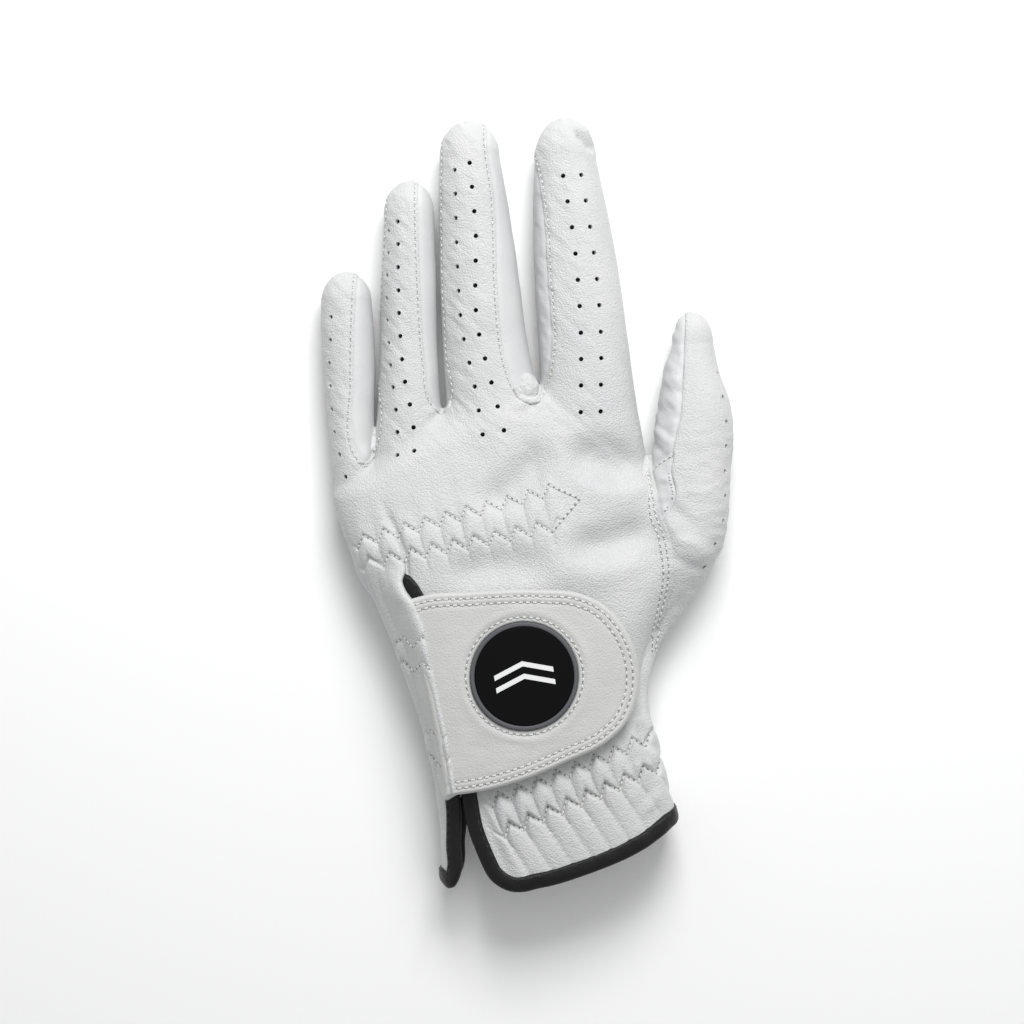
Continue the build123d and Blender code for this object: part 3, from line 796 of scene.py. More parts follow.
ROOT = [(-29.5, -24.2), (-26.5, -30.9), (-24.3, -41.1), (-21.5, -54.1), (-19.1, -67.1), (-18.1, -74.4)]
FREE_EDGE = [
    (-29.5, -24.2), (-26.2, -23.3), (-15.7, -22.5), (4, -21.9), (12.4, -22.6), (18.6, -25.2),
    (24.3, -30.9), (27.4, -37.2), (28.5, -43), (28, -49.4), (25.4, -55.6), (20.2, -60.8), (10, -65.8),
    (-2.2, -70.8), (-11.3, -73.3), (-18.1, -74.4),
]
HINGE_ACROSS = np.array([0.981, 0.195])  # level, away from the tab's root
TUCK = 3.0  # how far the tab runs on under the hem
MARKER_CENTRE = np.array([-0.9, -43.9])
SEAT_HOLE = 13.7
MARKER_STITCH_RADIUS = 15.0
TAB_STITCH_ROWS = (1.7, 3.3)  # in from the tab's edge
TAB_FLATNESS = 0.55  # how much of the hand's crown the stiff tab follows
TAB_TOP = 4.8  # of its leather, over the level it rests on


def inset(line, distance):
    """The line moved to its right, by turning each stretch's direction a quarter turn."""
    along = unit(np.gradient(line, axis=0))
    return line + distance * np.stack([along[:, 1], -along[:, 0]], 1)


free_edge = curve(FREE_EDGE)
root = curve(ROOT)
TAB_OUTLINE = np.vstack([free_edge, (root - TUCK * HINGE_ACROSS)[::-1]])


def hand_top(x, y):
    """Height of the smooth hand at a place on its back."""
    left, right, low, high = section(HAND, y)
    across = np.clip(np.abs(x - (left + right) / 2) / ((right - left) / 2), 0, 0.97)
    power = HAND_SQUARENESS[0]
    return (low + high) / 2 + (high - low) / 2 * (1 - across**power) ** (1 / power)


def tab_base(x, y):
    crown = 24.0
    return crown - TAB_FLATNESS * (crown - hand_top(x, y))


# ---- building blocks


def plate(outline, top, bottom, roll=0.5, roll_below=0.2, hole=None, step=0.9, relief=None):
    """Points and faces of a layer between two heights, inside an outline, with rounded edges."""
    axes = (np.arange(low, high, step) for low, high in zip(outline.min(0) - 1, outline.max(0) + 1))
    gx, gy = np.meshgrid(*axes, indexing="ij")
    number = np.arange(gx.size).reshape(gx.shape)
    a, b, c, d = number[:-1, :-1], number[1:, :-1], number[1:, 1:], number[:-1, 1:]
    tri = np.concatenate([np.stack([a, b, c], 2).reshape(-1, 3), np.stack([a, c, d], 2).reshape(-1, 3)])
    net = Net(np.stack([gx.ravel(), gy.ravel(), np.zeros(gx.size)], 1), tri)

    def depth(points):
        value = region(points[:, 0], points[:, 1], outline)
        if hole:
            value = np.maximum(value, hole[2] - np.hypot(points[:, 0] - hole[0], points[:, 1] - hole[1]))
        return value

    net.drop(depth(net.centres()) > 1.5)
    net.refine(np.abs(depth(net.centres())) < (4.2 if relief else 1.5))
    net.refine(np.abs(depth(net.centres())) < max(roll, 0.5))
    net.cut(depth(net.points), [0], 1)
    net.drop(net.panel == 0)
    x, y, _ = net.points.T
    inside = np.clip(-depth(net.points), 0, None)

    def rounded(radius):
        return radius * (1 - np.sqrt(1 - (1 - np.clip(inside / radius, 0, 1)) ** 2)) if radius else 0

    z_top = top(x, y) - rounded(roll) + (relief(x, y) if relief else 0)
    z_bottom = np.minimum(bottom(x, y) + rounded(roll_below), z_top - 0.05)
    return closed_skin(net, [1], *(np.stack([x, y, z], 1) for z in (z_top, z_bottom)))


class Surface:
    """A net's outer surface, to lay stitches on. A place on it comes with its normal."""

    def __init__(self, points, tri):
        self.tree = BVHTree.FromPolygons(points.tolist(), tri.tolist())

    def cast(self, x, y, z, direction):
        place, normal, _, _ = self.tree.ray_cast(Vector((x, y, z)), Vector((0, 0, direction)))
        return (np.array(place), np.array(normal)) if place else None

    def down(self, x, y):
        return self.cast(x, y, 60, -1)

    def up(self, x, y):
        return self.cast(x, y, -40, 1)

    def nearest(self, *point):
        place, normal, _, _ = self.tree.find_nearest(Vector(point))
        return np.array(place), np.array(normal)


def ring(centre, u, v, sides):
    """Points of a circle round a centre, from its radius along two directions."""
    turns = [2 * math.pi * k / sides for k in range(sides)]
    return [centre + (math.cos(turn) * u + math.sin(turn) * v) for turn in turns]


class Thread:
    """Stitches, and dark discs of painted shade in their stitch holes, collected into two pieces."""

    SIDES = 6
    SHADE_DISC_SIDES = 7

    # holes is the radius of the dark discs of painted shade at each stitch's ends, none if 0
    def __init__(self, name, material, slot, body="glove", radius=0.15, holes=0):
        self.name, self.material, self.slot, self.body = name, material, slot, body
        self.radius, self.holes = radius, holes
        self.points, self.faces = [], []
        self.hole_points, self.shade_disc_faces = [], []

    def stitch(self, places):
        """One stitch through three (place, normal) pairs on the surface: its ends and its middle."""
        (p0, n0), (p1, n1), (p2, n2) = places
        r = self.radius
        if np.linalg.norm(p2 - p0) < 0.2:
            return
        along = unit(p2 - p0)
        normal = unit(n1 - along * (n1 @ along))
        side = np.cross(along, normal)
        lifted = n1 * 0.35 * r
        spine = [(p0 - n0 * 0.9 * r, 0.75), (p0 * 0.7 + p1 * 0.3 + lifted, 1.0), (p1 + n1 * 0.75 * r, 1.1),
                 (p2 * 0.7 + p1 * 0.3 + lifted, 1.0), (p2 - n2 * 0.9 * r, 0.75)]
        base, sides = len(self.points), self.SIDES
        for centre, size in spine:
            self.points += ring(centre, r * size * side, r * size * normal, sides)
        for start in range(base, base + (len(spine) - 1) * sides, sides):
            for k in range(sides):
                a, b = start + k, start + (k + 1) % sides
                self.faces.append((b, a, a + sides, b + sides))
        last = base + (len(spine) - 1) * sides
        self.faces += [tuple(range(base, base + sides)), tuple(range(last + sides - 1, last - 1, -1))]
        # painted shade: a dark disc at each end stands in for the shade inside the stitch hole
        if self.holes:
            self.paint_hole_shade(p0, n0, along)
            self.paint_hole_shade(p2, n2, along)

    # Painted shade: a small dark disc and cone where the thread enters the leather, in place of the shade
    # inside the stitch hole.
    def paint_hole_shade(self, place, up, along):
        side = self.holes * unit(np.cross(along, up))
        base, sides = len(self.hole_points), self.SHADE_DISC_SIDES
        self.hole_points += ring(place + up * 0.015, side, np.cross(up, side), sides)
        self.hole_points += [place + up * 0.05, place - up * 0.2]
        for k in range(sides):
            a, b = base + k, base + (k + 1) % sides
            self.shade_disc_faces += [(b, a, base + sides), (a, b, base + sides + 1)]

    def along(self, path, pitch, length, project):
        """Stitches along a path of points, each point put on the surface by project."""
        path = np.array(path)
        run = lengths(path)
        count = max(1, round(run[-1] / pitch))
        for k in range(count):
            centre = (k + 0.5) * run[-1] / count
            places = [project(*place_at(path, run, centre + step)) for step in (-length / 2, 0, length / 2)]
            if all(place is not None for place in places):
                self.stitch(places)

    def make(self):
        meshes = [(self.name, self.points, self.faces, self.material)]
        # the second piece holds the dark discs of painted shade
        if self.hole_points:
            meshes.append((self.name + "_needle_holes", self.hole_points, self.shade_disc_faces, hole_shade_material))
        return [mesh_object(*mesh, self.body, self.slot) for mesh in meshes]


def sweep(path, normals, half_width, half_thickness, power=2.6, sides=14):
    """Points and faces of a closed band along a path, its width level with the surface."""
    along = unit(np.roll(path, -1, 0) - np.roll(path, 1, 0))
    normals = unit(normals - along * (normals * along).sum(1)[:, None])
    side = np.cross(along, normals)
    turn = 2 * np.pi * np.arange(sides) / sides
    c, s = np.cos(turn), np.sin(turn)
    u = np.sign(c) * np.abs(c) ** (2 / power) * half_width
    v = np.sign(s) * np.abs(s) ** (2 / power) * half_thickness
    points = path[:, None] + side[:, None] * u[None, :, None] + normals[:, None] * v[None, :, None]
    k = np.arange(sides)[None]
    m = (k + 1) % sides
    i = np.arange(len(path))[:, None]
    j = (i + 1) % len(path)
    faces = np.stack([i * sides + k, j * sides + k, j * sides + m, i * sides + m], 2)
    return points.reshape(-1, 3), faces.reshape(-1, 4)


def resample(path, step):
    """The closed path's points at even steps, after some rounding off."""
    for _ in range(6):
        path = 0.5 * path + 0.25 * (np.roll(path, 1, 0) + np.roll(path, -1, 0))
    loop = np.vstack([path, path[:1]])
    run = lengths(loop)
    return place_at(loop, run, np.arange(0, run[-1], step))


# ---- materials


class Shader:
    """A small helper to lay out one material's nodes."""

    def __init__(self, name, colour, roughness, **values):
        self.material = bpy.data.materials.new(name)
        self.material.use_nodes = True
        self.nodes = self.material.node_tree.nodes
        self.surface = self.nodes["Principled BSDF"]
        self.surface.inputs["Base Color"].default_value = (*colour, 1)
        self.surface.inputs["Roughness"].default_value = roughness
        for key, value in values.items():
            self.surface.inputs[key.replace("_", " ")].default_value = value
        self.place = self.nodes.new("ShaderNodeTexCoord").outputs["Object"]
        self.last_bump = None

    def link(self, a, b):
        self.material.node_tree.links.new(a, b)

    def texture(self, kind, scale, stretch=None, **values):
        node = self.nodes.new("ShaderNodeTex" + kind)
        node.inputs["Scale"].default_value = scale
        for key, value in values.items():
            node.inputs[key].default_value = value
        place = self.place
        if stretch:
            mapping = self.nodes.new("ShaderNodeMapping")
            mapping.inputs["Scale"].default_value = stretch
            self.link(place, mapping.inputs["Vector"])
            place = mapping.outputs["Vector"]
        self.link(place, node.inputs["Vector"])
        return node.outputs["Distance" if kind == "Voronoi" else "Fac"]

    def bump(self, distance, *texture, **values):
        """Relief of some height in metres, on top of what is there, by a texture."""
        texture = self.texture(*texture, **values)
        node = self.nodes.new("ShaderNodeBump")
        node.inputs["Distance"].default_value = distance
        node.inputs["Strength"].default_value = 1.0
        self.link(texture, node.inputs["Height"])
        if self.last_bump:
            self.link(self.last_bump, node.inputs["Normal"])
        self.last_bump = node.outputs["Normal"]
        self.link(self.last_bump, self.surface.inputs["Normal"])
        return texture

    def mottle(self, texture, dark, light, low=0.35, high=0.65):
        """Colours the surface between two colours by a texture."""
        node = self.nodes.new("ShaderNodeValToRGB")
        for element, position, colour in zip(node.color_ramp.elements, (low, high), (dark, light)):
            element.position = position
            element.color = (*colour, 1)
        self.link(texture, node.inputs["Fac"])
        self.link(node.outputs["Color"], self.surface.inputs["Base Color"])


def leather(name, dark, light, grain=1.0):
    shader = Shader(name, light, 0.5, Specular_IOR_Level=0.35, Sheen_Weight=0.08)
    shader.mottle(shader.texture("Noise", 70, Detail=4), dark, light)
    shader.bump(-0.00018 * grain, "Voronoi", 2200, Randomness=1.0)
    shader.bump(0.00006 * grain, "Noise", 520, (1.0, 1.9, 1.0), Detail=1)
    shader.bump(0.00014 * grain, "Noise", 140, (1.0, 1.8, 1.0), Detail=1)
    return shader.material


def woven(name, colour, scale, roughness=0.7, distance=0.0002, **values):
    shader = Shader(name, colour, roughness, **values)
    shader.bump(distance, "Wave", scale, Distortion=1.0, Detail=1).node.bands_direction = "DIAGONAL"
    shader.bump(distance, "Noise", scale * 2.5)
    return shader.material


def satin(name, colour, roughness):
    shader = Shader(name, colour, roughness, Sheen_Weight=0.04, Specular_IOR_Level=0.32)
    shader.bump(0.00035, "Noise", 260, (1, 1, 1), Detail=2)
    shader.bump(0.00004, "Wave", 900, Distortion=0.6)
    return shader.material


def plain(name, colour, roughness, grain=0.0, scale=900, **values):
    shader = Shader(name, colour, roughness, **values)
    if grain:
        shader.bump(grain, "Noise", scale, Detail=3)
    return shader.material


white_leather = leather("white leather", (0.588, 0.595, 0.596), (0.626, 0.630, 0.624))
gusset_leather = leather("gusset leather", (0.59, 0.60, 0.605), (0.63, 0.638, 0.638), 0.3)
tab_white = leather("tab leather", (0.55, 0.554, 0.540), (0.582, 0.586, 0.573), 0.55)
thread_white = plain("white thread", (0.70, 0.70, 0.68), 0.6, 0.00006, 2500)
thread_black = plain("black thread", (0.02, 0.02, 0.022), 0.55, 0.00006, 2500)
# painted shade: the dark grey of the discs that stand in for the shade inside stitch holes
hole_shade_material = plain("stitch hole painted shade", (0.20, 0.21, 0.21), 0.9, 0.00004)
black_satin = satin("black satin binding", (0.005, 0.005, 0.006), 0.45)
elastic = woven("elastic webbing", (0.66, 0.66, 0.64), 450)
loop_fleece = woven("loop fleece", (0.018, 0.018, 0.02), 900, 0.95, 0.0003, Sheen_Weight=0.12)
hook_plastic = plain("hook tape", (0.02, 0.02, 0.022), 0.5, 0.0004, 1400)
foam = plain("tab foam", (0.55, 0.56, 0.56), 0.9, 0.0002, 1200)
lining = woven("tab lining", (0.64, 0.645, 0.64), 700, 0.85, 0.0001)
rubber = plain("grey rubber", (0.085, 0.09, 0.10), 0.62, 0.00005, 1500)
steel = plain("brushed steel", (0.55, 0.56, 0.57), 0.32, 0.00003, 700, Metallic=1.0)
enamel = plain("black enamel", (0.004, 0.004, 0.0045), 0.6, 0.00003, 1200, Specular_IOR_Level=0.06)
print_white = plain("white print", (0.80, 0.80, 0.80), 0.45, 0.00002, 1500)

NODE_MATERIALS = {
    "marker_seat": rubber, "seat_magnet": steel, "marker_base": steel, "marker_face": enamel,
    "marker_emblem": print_white,
}
for node, material in NODE_MATERIALS.items():
    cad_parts[node].material_slots[0].material = material

# ---- the glove's leather

PANELS = {  # panel: (piece, CAD node, material, slot)
    BACK: ("leather_back", "back_panel", white_leather, "white_leather"),
    PALM: ("leather_palm", "palm_panel", white_leather, "white_leather"),
    LITTLE_RING: ("gusset_little_ring", "fourchette_little_ring", gusset_leather, "gusset_leather"),
    RING_MIDDLE: ("gusset_ring_middle", "fourchette_ring_middle", gusset_leather, "gusset_leather"),
    MIDDLE_INDEX: ("gusset_middle_index", "fourchette_middle_index", gusset_leather, "gusset_leather"),
    THUMB_BACK: ("leather_thumb_back", "thumb_back", white_leather, "white_leather"),
    THUMB_FRONT: ("leather_thumb_front", "thumb_front", gusset_leather, "gusset_leather"),
    QUIRK: ("leather_thumb_quirk", "thumb_quirk", gusset_leather, "gusset_leather"),
}


def seam_distance(net, panel, others):
    """Distance of every vertex from a seam, up to a limit."""
    ends = np.concatenate([run for run in net.runs([panel], others)] or [np.zeros(0, int)])
    tree = KDTree(len(ends))
    for i, vertex in enumerate(ends):
        tree.insert(net.points[vertex], i)
    tree.balance()
    distance = np.full(len(net.points), 50.0)
    if len(ends):
        for vertex in np.unique(net.tri[net.panel == panel]):
            distance[vertex] = tree.find(net.points[vertex])[2]
    return distance


def seam_relief(net, panel):
    """The proud, pinched edge of the back and the thumb, and the sunk edge of the panels they are sewn to."""
    others = [number for number in PANELS if number != panel]
    if panel == BACK:
        others.remove(PALM)
        d, flat = seam_distance(net, panel, others), seam_distance(net, panel, [PALM])
        proud = 0.26 * bell(d, 2.2) - 0.24 * bell(d - 0.95, 0.42)
        return proud - 0.22 * bell(d, 0.22) - 0.3 * bell(flat, 0.5)
    if panel == THUMB_BACK:
        d, flat = seam_distance(net, panel, [THUMB_FRONT, QUIRK]), seam_distance(net, panel, [BACK, PALM])
        return 0.3 * bell(d, 1.2) - 0.3 * bell(d, 0.25) - 0.28 * bell(flat, 0.8)
    depth = 0.5 if panel in (THUMB_FRONT, QUIRK) else 0.28
    return -depth * bell(seam_distance(net, panel, others), 0.8)


def rest_on_floor(points):
    """Flattens what would press through the floor."""
    z = points[:, 2]
    return np.column_stack([points[:, :2], np.where(z < 0, 0.12 * z, z)])


net = make_glove()
normals = unit(gradient(glove_field, net.points))
lift = relief(net.points, normals)
near_edge = 1 - ramp(opening_field(*net.points.T), 4, 7.5)
inner_lift = np.minimum(lift, 0) * (1 - near_edge) + lift * near_edge
skin_points = net.points.copy()
for number, (piece, node, material, slot) in PANELS.items():
    extra = seam_relief(net, number)
    outer = rest_on_floor(net.points + normals * (lift + extra)[:, None])
    inner = net.points + normals * (inner_lift - LEATHER + 0.3 * extra)[:, None]
    mine = np.unique(net.tri[net.panel == number])
    skin_points[mine] = outer[mine]
    mesh_object(piece, *closed_skin(net, [number], outer, inner), material, "glove", slot, node)
skin = Surface(skin_points, net.tri)

# ---- hem over the tab's root

HEM_TOP = [
    (-36.2, -4.0), (-33.6, -8.5), (-31.7, -13.5), (-31.3, -17.2), (-32.1, -19.8), (-31.2, -22.3),
    (-29.5, -24.6),
]
HEM_FOOT = [(-18.1, -74.4), (-19.6, -75.6), (-21.4, -77.4)]
HEM_LEFT = [
    (-21.4, -77.4), (-23.0, -74.5), (-24.6, -66), (-28.2, -52), (-32.2, -40), (-37.2, -27), (-40.2, -17),
    (-40.4, -9), (-38.6, -4.6), (-36.2, -4.0),
]
HEM_PROUD = 0.55  # of the tab's leather
hem_right, hem_left = np.vstack([curve(HEM_TOP), root[1:], curve(HEM_FOOT)[1:]]), curve(HEM_LEFT)
HEM_OUTLINE = np.vstack([hem_right, hem_left[1:-1]])


def hem_height(x, y):
    """The flap's leather rises from the hand to lie over the tab's root."""
    to_right, to_left = line_distance(x, y, hem_right), line_distance(x, y, hem_left)
    rise = ramp(to_left / (to_left + to_right + 1e-6), 0.0, 0.85)
    rise = rise * ramp(y, -77.6, -73.6) * (1 - 0.72 * ramp(y, -26, -14)) * (1 - ramp(y, -14, -4.5))
    ground = hand_top(x, y) - 0.3
    peak = tab_base(x, y) + TAB_TOP + HEM_PROUD
    gathers = FLAP_UPPER.relief(x, y) + FLAP_LOWER.relief(x, y)
    ripples = 0.22 * noise(x / 1.6, y, 0 * x, 5.0, 21) + 0.10 * noise(x / 1.6, y, 0 * x, 2.0, 22)
    return ground + (peak - ground) * rise + rise * (ripples + gathers) + KNUCKLE.relief(x, y)


# A relief, even of 0, has a plate meshed finely near its edges.
points, faces = plate(
    HEM_OUTLINE, hem_height, lambda x, y: hand_top(x, y) - 0.7, 1.1, 0, step=0.7, relief=lambda *_: 0)
mesh_object("flap_hem_roll", points, faces, white_leather, "glove", "white_leather", "flap_hem")
hem_skin = Surface(points, faces)


def flap_down(x, y):
    """Place and normal on the flap, hem included."""
    found = [place for place in (skin.down(x, y), hem_skin.down(x, y)) if place is not None]
    return max(found, key=lambda place: place[0][2]) if found else None


# ---- bunched gusset ends between the fingers

GUSSET_ENDS = {  # line of the pinched rim, its radius, and the pillow inside it: centre and radii
    "gusset_end_middle_index": (
        [(-3.4, 29.6), (-2.4, 27.6), (-0.4, 26.5), (1.8, 26.3), (3.0, 26.9)], 0.55,
        ((-0.3, 30.2), (3.3, 3.9, 2.0))),
    "gusset_end_ring_middle": (
        [(-24.8, 26.2), (-24.0, 24.7), (-22.2, 23.7), (-20.6, 24.7), (-20.0, 26.4)], 0.6, None),
    "gusset_end_little_ring": (
        [(-44.4, 12.6), (-43.4, 11.0), (-42.1, 10.5), (-40.9, 11.1), (-40.2, 12.4)], 0.42, None),
}


def gusset_end(name, rim, radius, pillow):
    """The leather pinched up where a gusset's narrow end is gathered into its seam."""
    line = curve(rim, 0.5)
    hits = [skin.down(*place) for place in line]
    line = np.array([hit[0] for hit in hits if hit is not None]) - (0, 0, 0.2 * radius)

    def field(x, y, z):
        nearest = np.inf
        for a, b in zip(line[:-1], line[1:]):
            d = b - a
            share = np.clip(((x - a[0]) * d[0] + (y - a[1]) * d[1] + (z - a[2]) * d[2]) / (d @ d), 0, 1)
            gap = [value - start - share * step for value, start, step in zip((x, y, z), a, d)]
            nearest = np.minimum(nearest, sum(value**2 for value in gap))
        total = np.sqrt(nearest) - radius
        if pillow:
            (cx, cy), radii = pillow
            centre = (cx, cy, skin.down(cx, cy)[0][2] - 0.85)
            away = sum(((value - c) / r) ** 2 for value, c, r in zip((x, y, z), centre, radii))
            total = smooth_union(total, (np.sqrt(away) - 1) * min(radii), 1.6)
        return total

    around = [np.array(rim).min(0) - 1.5, np.array(rim).max(0) + 1.5]
    if pillow:
        around[1][1] = pillow[0][1] + pillow[1][1] + 1
    low = (*around[0], line[:, 2].min() - 6)
    high = (*around[1], line[:, 2].max() + 5)
    points, quads = surface_net(field, low, high, 0.3)
    points = settle(field, points, quads, 2)
    rough = 0.14 * noise(*points.T, 0.9, 51) + 0.4 * noise(*points.T, 2.2, 52)
    points += rough[:, None] * (0.5, 0.5, 1.0)
    mesh_object(name, points, quads, white_leather, "glove", "white_leather")


for name, shape in GUSSET_ENDS.items():
    gusset_end(name, *shape)

# ---- stitching on the leather


def left_of(net, run, distance):
    """A run of vertices moved to its left along the surface."""
    path = net.points[run]
    for _ in range(3):
        path[1:-1] = 0.5 * path[1:-1] + 0.25 * (path[:-2] + path[2:])
    return path + np.cross(normals[run], unit(np.gradient(path, axis=0))) * distance


def stitch_seam(thread, panel, others, distances, pitch, length, keep, shortest=12):
    """Rows of stitches inside a panel's seam with others, where keep allows them."""
    for run in net.runs([panel], others):
        if len(run) < shortest:
            continue
        for distance in distances:
            path = left_of(net, run, distance)
            wanted = keep(*path.T)
            pieces = np.split(np.arange(len(path)), np.flatnonzero(np.diff(wanted.astype(int))) + 1)
            for piece in pieces:
                if wanted[piece[0]] and len(piece) > 6:
                    thread.along(path[piece], pitch, length, skin.nearest)


def everywhere(x, y, z):
    return x < np.inf


def on_back(x, y, z):
    return (z > 12) & (y < 11) & (y > -39)


# holes gives the radius of the dark discs of painted shade at the stitch ends, here and below
finger_thread = Thread("stitching_fingers", thread_white, "white_leather", holes=0.21)
side_thread = Thread("stitching_sides", thread_white, "white_leather")
thumb_thread = Thread("stitching_thumb", thread_white, "white_leather", radius=0.18, holes=0.26)
stitch_seam(finger_thread, BACK, list(GAPS), [0.95], 1.75, 1.1, everywhere)
stitch_seam(side_thread, BACK, [PALM], [0.95], 2.1, 1.3, everywhere)
stitch_seam(thumb_thread, BACK, [THUMB_FRONT, THUMB_BACK, QUIRK], [1.4, 2.9], 1.8, 1.15, on_back)
stitch_seam(thumb_thread, PALM, [THUMB_FRONT, THUMB_BACK], [1.2], 2.0, 1.25, everywhere)
stitch_seam(thumb_thread, QUIRK, [THUMB_FRONT], [0.9], 1.7, 1.05, everywhere, 6)

LEG_STITCHES = 3


def stitch_zigzag(thread, corners, project, keep):
    """Straight stitches along each leg of a zigzag."""
    for a, b in zip(corners[:-1], corners[1:]):
        for k in range(LEG_STITCHES):
            shares = (np.array([0.08, 0.5, 0.92]) + k) / LEG_STITCHES
            spots = [a + (b - a) * share for share in shares]
            if all(keep(*spot) for spot in spots):
                places = [project(*spot) for spot in spots]
                if all(place is not None and abs(place[1][2]) > 0.3 for place in places):
                    thread.stitch(places)


def clear_of_openings(x, y):
    spot = np.array([x]), np.array([y])
    return opening_field(*spot, np.array([20.0]))[0] > 1.2 and region(*spot, TAB_OUTLINE)[0] > -1.5


def left_of_tab(x, y):
    return x < np.interp(y, root[::-1, 1], root[::-1, 0]) - 1


gather_thread = Thread("stitching_gathers", thread_white, "white_leather", radius=0.17, holes=0.34)
palm_thread = Thread("stitching_palm_gathers", thread_white, "white_leather", radius=0.16)
for band, thread, project, keep in (
    (KNUCKLE, gather_thread, flap_down, clear_of_openings),
    (WRIST, gather_thread, skin.down, clear_of_openings),
    (FLAP_UPPER, gather_thread, flap_down, left_of_tab),
    (FLAP_LOWER, gather_thread, flap_down, left_of_tab),
    (HEEL_PALM, palm_thread, skin.up, lambda *_: True),
    (WRIST_PALM, palm_thread, skin.up, lambda *_: True),
):
    for corners in band.corners():
        stitch_zigzag(thread, corners, project, keep)
first_row, second_row = KNUCKLE.corners()
gather_thread.along([first_row[-1], KNUCKLE_POINT, second_row[-1]], 1.5, 1.2, skin.down)
for thread in (gather_thread, finger_thread, side_thread, thumb_thread, palm_thread):
    thread.make()

# ---- binding round the cuff and the slit

BINDING_HALF_WIDTH = 2.1
BINDING_HALF_THICKNESS = 1.0
BINDING_INWARD = 1.05  # from the leather's edge to the binding's middle

opening = net.runs(list(PANELS))[0]
edge_path = resample(skin_points[opening], 0.7)
edge_normals = np.array([skin.nearest(*place)[1] for place in edge_path])
for _ in range(8):
    edge_normals = unit(edge_normals + np.roll(edge_normals, 1, 0) + np.roll(edge_normals, -1, 0))
inward = unit(np.cross(edge_normals, np.roll(edge_path, -1, 0) - np.roll(edge_path, 1, 0)))
binding_path = edge_path + inward * BINDING_INWARD - edge_normals * 0.3
points, faces = sweep(binding_path, edge_normals, BINDING_HALF_WIDTH, BINDING_HALF_THICKNESS)
mesh_object("edge_binding", rest_on_floor(points), faces, black_satin, "glove", "black_binding",
            "cuff_binding", "slit_binding")

binding_thread = Thread("stitching_binding", thread_black, "black_binding", radius=0.14)
row = binding_path + inward * 1.45
run = lengths(row)
for start in np.arange(0.5, run[-1] - 2, 2.2):
    places = []
    for at in (start, start + 0.7, start + 1.4):
        up = place_at(edge_normals, run, at)
        places.append((place_at(row, run, at) + up * (BINDING_HALF_THICKNESS - 0.2), up))
    binding_thread.stitch(places)
binding_thread.make()

# ---- elastic under the gathers

ELASTIC_DEPTH = (1.15, 1.95)


def elastic_band(piece, node, band, above, margin=3.2):
    """A strip under the leather, along a band of gathers."""
    along, down, apart, _, length = band.local(*net.points[:, :2].T)
    height = net.points[:, 2] - SEAM_Z - 1.5
    limits = (-down - margin + 3, down - apart - margin, -along, along - length, -height if above else height)
    value = np.maximum.reduce([*limits, 4.0 - opening_field(*net.points.T)])
    strip = Net(net.points.copy(), net.tri.copy())
    strip.panel = np.where(np.isin(net.panel, [BACK, PALM]), 0, 1)
    strip.cut(value, [0], 2)
    direction = unit(gradient(glove_field, strip.points))
    sunk = np.minimum(relief(strip.points, direction), 0)
    sides = (strip.points + direction * (sunk - depth)[:, None] for depth in ELASTIC_DEPTH)
    mesh_object(piece, *closed_skin(strip, [2], *sides), elastic, "glove", "elastic_band", node)


elastic_band("elastic_knuckle", "knuckle_elastic", KNUCKLE, True)
elastic_band("elastic_wrist_back", "wrist_elastic_back", WRIST, True)
elastic_band("elastic_wrist_palm", "wrist_elastic_palm", WRIST_PALM, False)
elastic_band("elastic_heel_palm", "heel_elastic_palm", HEEL_PALM, False)

# ---- hem, closure and tab

LOOP_OUTLINE = curve(
    [(-19, -30), (18, -28.6), (25, -40), (24.5, -57), (8, -64.5), (-10, -68.5), (-12.6, -68)], 1.0)
loop = plate(LOOP_OUTLINE, lambda x, y: hand_top(x, y) + 1.0, lambda x, y: hand_top(x, y) - 0.1, 0.35)
mesh_object("loop_patch", *loop, loop_fleece, "glove", "loop_tape", "loop_pad")


def on_tab(obj, node=None):
    """Bakes the piece's place into its mesh, and hides the CAD node that it stands in for, if one is given.
    """
    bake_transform(obj)
    if node:
        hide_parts(node)


def tab_relief(x, y):
    """Pinched rows of stitching round the tab's edge and round the marker, and soft swells between."""
    away = line_distance(x, y, free_edge)
    total = -0.10 * ramp(away, 0.9, 0.2)
    for row in TAB_STITCH_ROWS:
        total -= 0.20 * bell(away - row, 0.5)
    total += 0.14 * bell(away - 2.5, 0.55)
    outward = np.hypot(x - MARKER_CENTRE[0], y - MARKER_CENTRE[1]) - MARKER_STITCH_RADIUS
    total -= 0.22 * bell(outward, 0.55)
    total += 0.16 * bell(outward - 1.5, 1.0)
    total += 0.10 * noise(x, y, 0 * x, 9.0, 31) + 0.05 * noise(x, y, 0 * x, 3.0, 33)
    lower = ramp(y, -56, -62) * ramp(away, 3.5, 5.5)
    return total + 0.12 * lower * noise((x + 3 * y) / 3, (y - 0.3 * x) * 1.6, 0 * x, 3.0, 35)


def tab_level(height):
    return lambda x, y: tab_base(x, y) + height


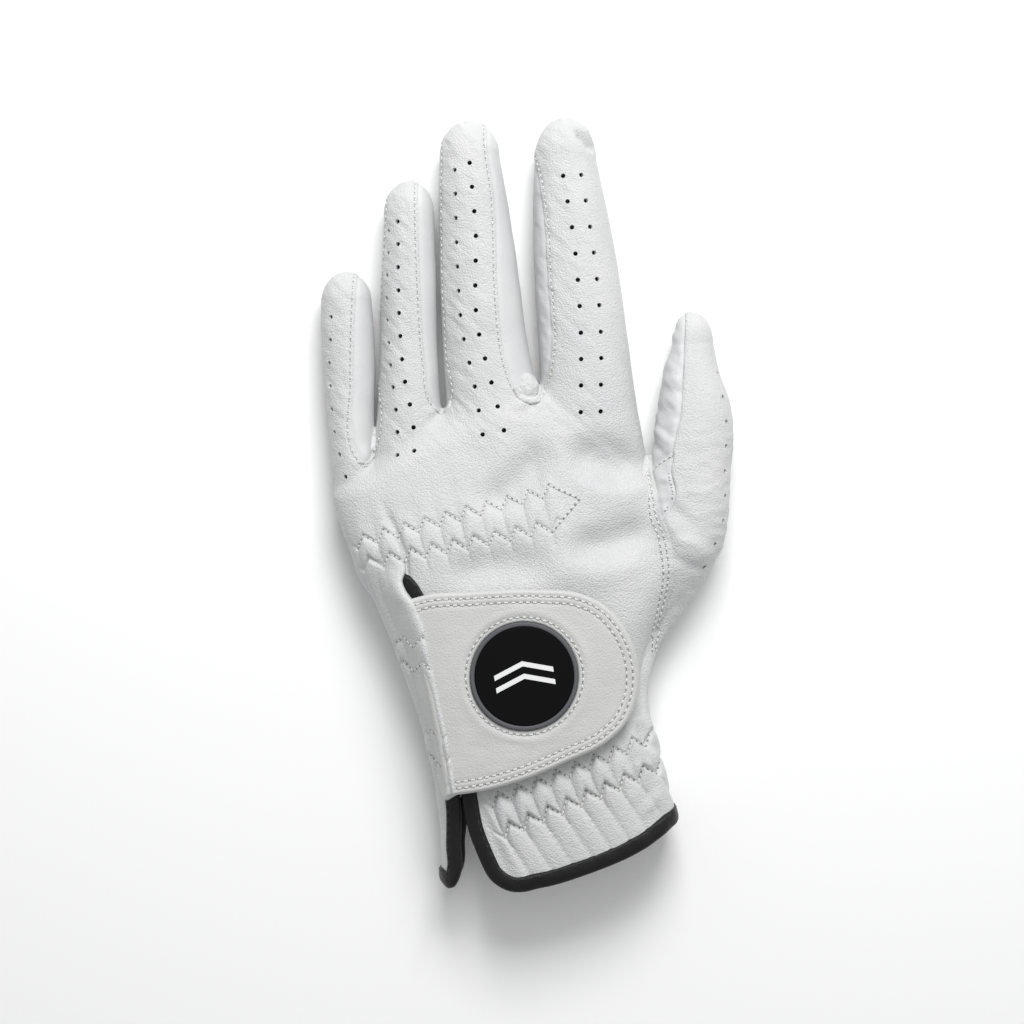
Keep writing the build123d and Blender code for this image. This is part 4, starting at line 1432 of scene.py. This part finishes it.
MARKER_HOLE = (*MARKER_CENTRE, SEAT_HOLE)
HOOK_OUTLINE = curve(
    [(-4, -27), (11, -26.4), (18.5, -29.5), (23.5, -37), (24, -48), (20, -56.5), (8, -61.5), (-2, -64.5),
     (-4, -64.4)], 1.0)
inner_outline = np.vstack([inset(free_edge, 0.45), (root - (TUCK - 0.4) * HINGE_ACROSS)[::-1]])
TAB_SHEETS = [  # piece, CAD node, material, slot, outline, lowest and highest level, more for its plate
    ("tab_leather_cover", "tab_leather", tab_white, "tab_leather", TAB_OUTLINE, 3.1, TAB_TOP, 1.0, 0.25,
     MARKER_HOLE, 0.8, tab_relief),
    ("tab_foam_core", "tab_core", foam, "tab_foam", inner_outline, 2.6, 3.05, 0.2, 0.2, MARKER_HOLE),
    ("tab_lining_sheet", "tab_lining", lining, "tab_lining", inner_outline, 2.05, 2.6, 0.2, 0.3),
    ("hook_patch", "hook_pad", hook_plastic, "hook_tape", HOOK_OUTLINE, 1.3, 2.1, 0.2, 0.3),
]
for piece, node, material, slot, outline, low, high, *shape in TAB_SHEETS:
    points, faces = plate(outline, tab_level(high), tab_level(low), *shape)
    obj = mesh_object(piece, points, faces, material, None, slot)
    on_tab(obj, node)
    if material == tab_white:
        tab_skin = Surface(points, faces)

tab_thread = Thread("stitching_tab", thread_white, "tab_leather", None, radius=0.21, holes=0.3)
for distance in TAB_STITCH_ROWS:
    path = inset(free_edge, distance)
    tab_thread.along(path[region(*path.T, TAB_OUTLINE) < -1.0], 1.85, 1.25, tab_skin.down)
turns = np.linspace(0, 2 * np.pi, 181)
circle = MARKER_CENTRE + MARKER_STITCH_RADIUS * np.stack([np.cos(turns), np.sin(turns)], 1)
tab_thread.along(circle, 1.75, 1.15, tab_skin.down)
for obj in tab_thread.make():
    on_tab(obj)

# ---- camera, floor and light

scene = bpy.context.scene
camera = bpy.data.objects.new("camera", bpy.data.cameras.new("camera"))
camera.data.lens = 100
camera.data.sensor_width = 36
CAMERA_HEIGHT = 0.753  # the photograph looks straight down
camera.location = (-4.03 * MM, -2.08 * MM, CAMERA_HEIGHT)
scene.collection.objects.link(camera)
scene.camera = camera

FLOOR_HALF = 2.0
corners = [(-1, -1), (1, -1), (1, 1), (-1, 1)]
floor_mesh = bpy.data.meshes.new("floor")
floor_mesh.from_pydata([(x * FLOOR_HALF, y * FLOOR_HALF, 0) for x, y in corners], [], [(0, 1, 2, 3)])
floor = bpy.data.objects.new("floor", floor_mesh)
floor.location.z = -0.4 * MM  # clear of the palm
floor_mesh.materials.append(plain("studio floor", (0.97, 0.97, 0.97), 0.9))
scene.collection.objects.link(floor)
floor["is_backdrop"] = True


def area_light(name, place, size, power, aim=(0, 0, 0)):
    light = bpy.data.objects.new(name, bpy.data.lights.new(name, "AREA"))
    light.data.energy = power
    light.data.size = size
    light.location = place
    light.rotation_euler = (Vector(aim) - light.location).to_track_quat("-Z", "Y").to_euler()
    scene.collection.objects.link(light)


area_light("key", (0.07, 0.48, 0.54), 0.34, 4.8)
area_light("fill", (0.25, 0.1, 1.1), 1.0, 1.8)
world = bpy.data.worlds.new("studio")
world.use_nodes = True
world.node_tree.nodes["Background"].inputs["Color"].default_value = (0.97, 0.975, 0.985, 1)
world.node_tree.nodes["Background"].inputs["Strength"].default_value = 0.39
scene.world = world
scene.view_settings.view_transform = "Standard"

low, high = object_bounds()
{"cad": [list(cad_low), list(cad_high)], "visual": [list(low), list(high)]}
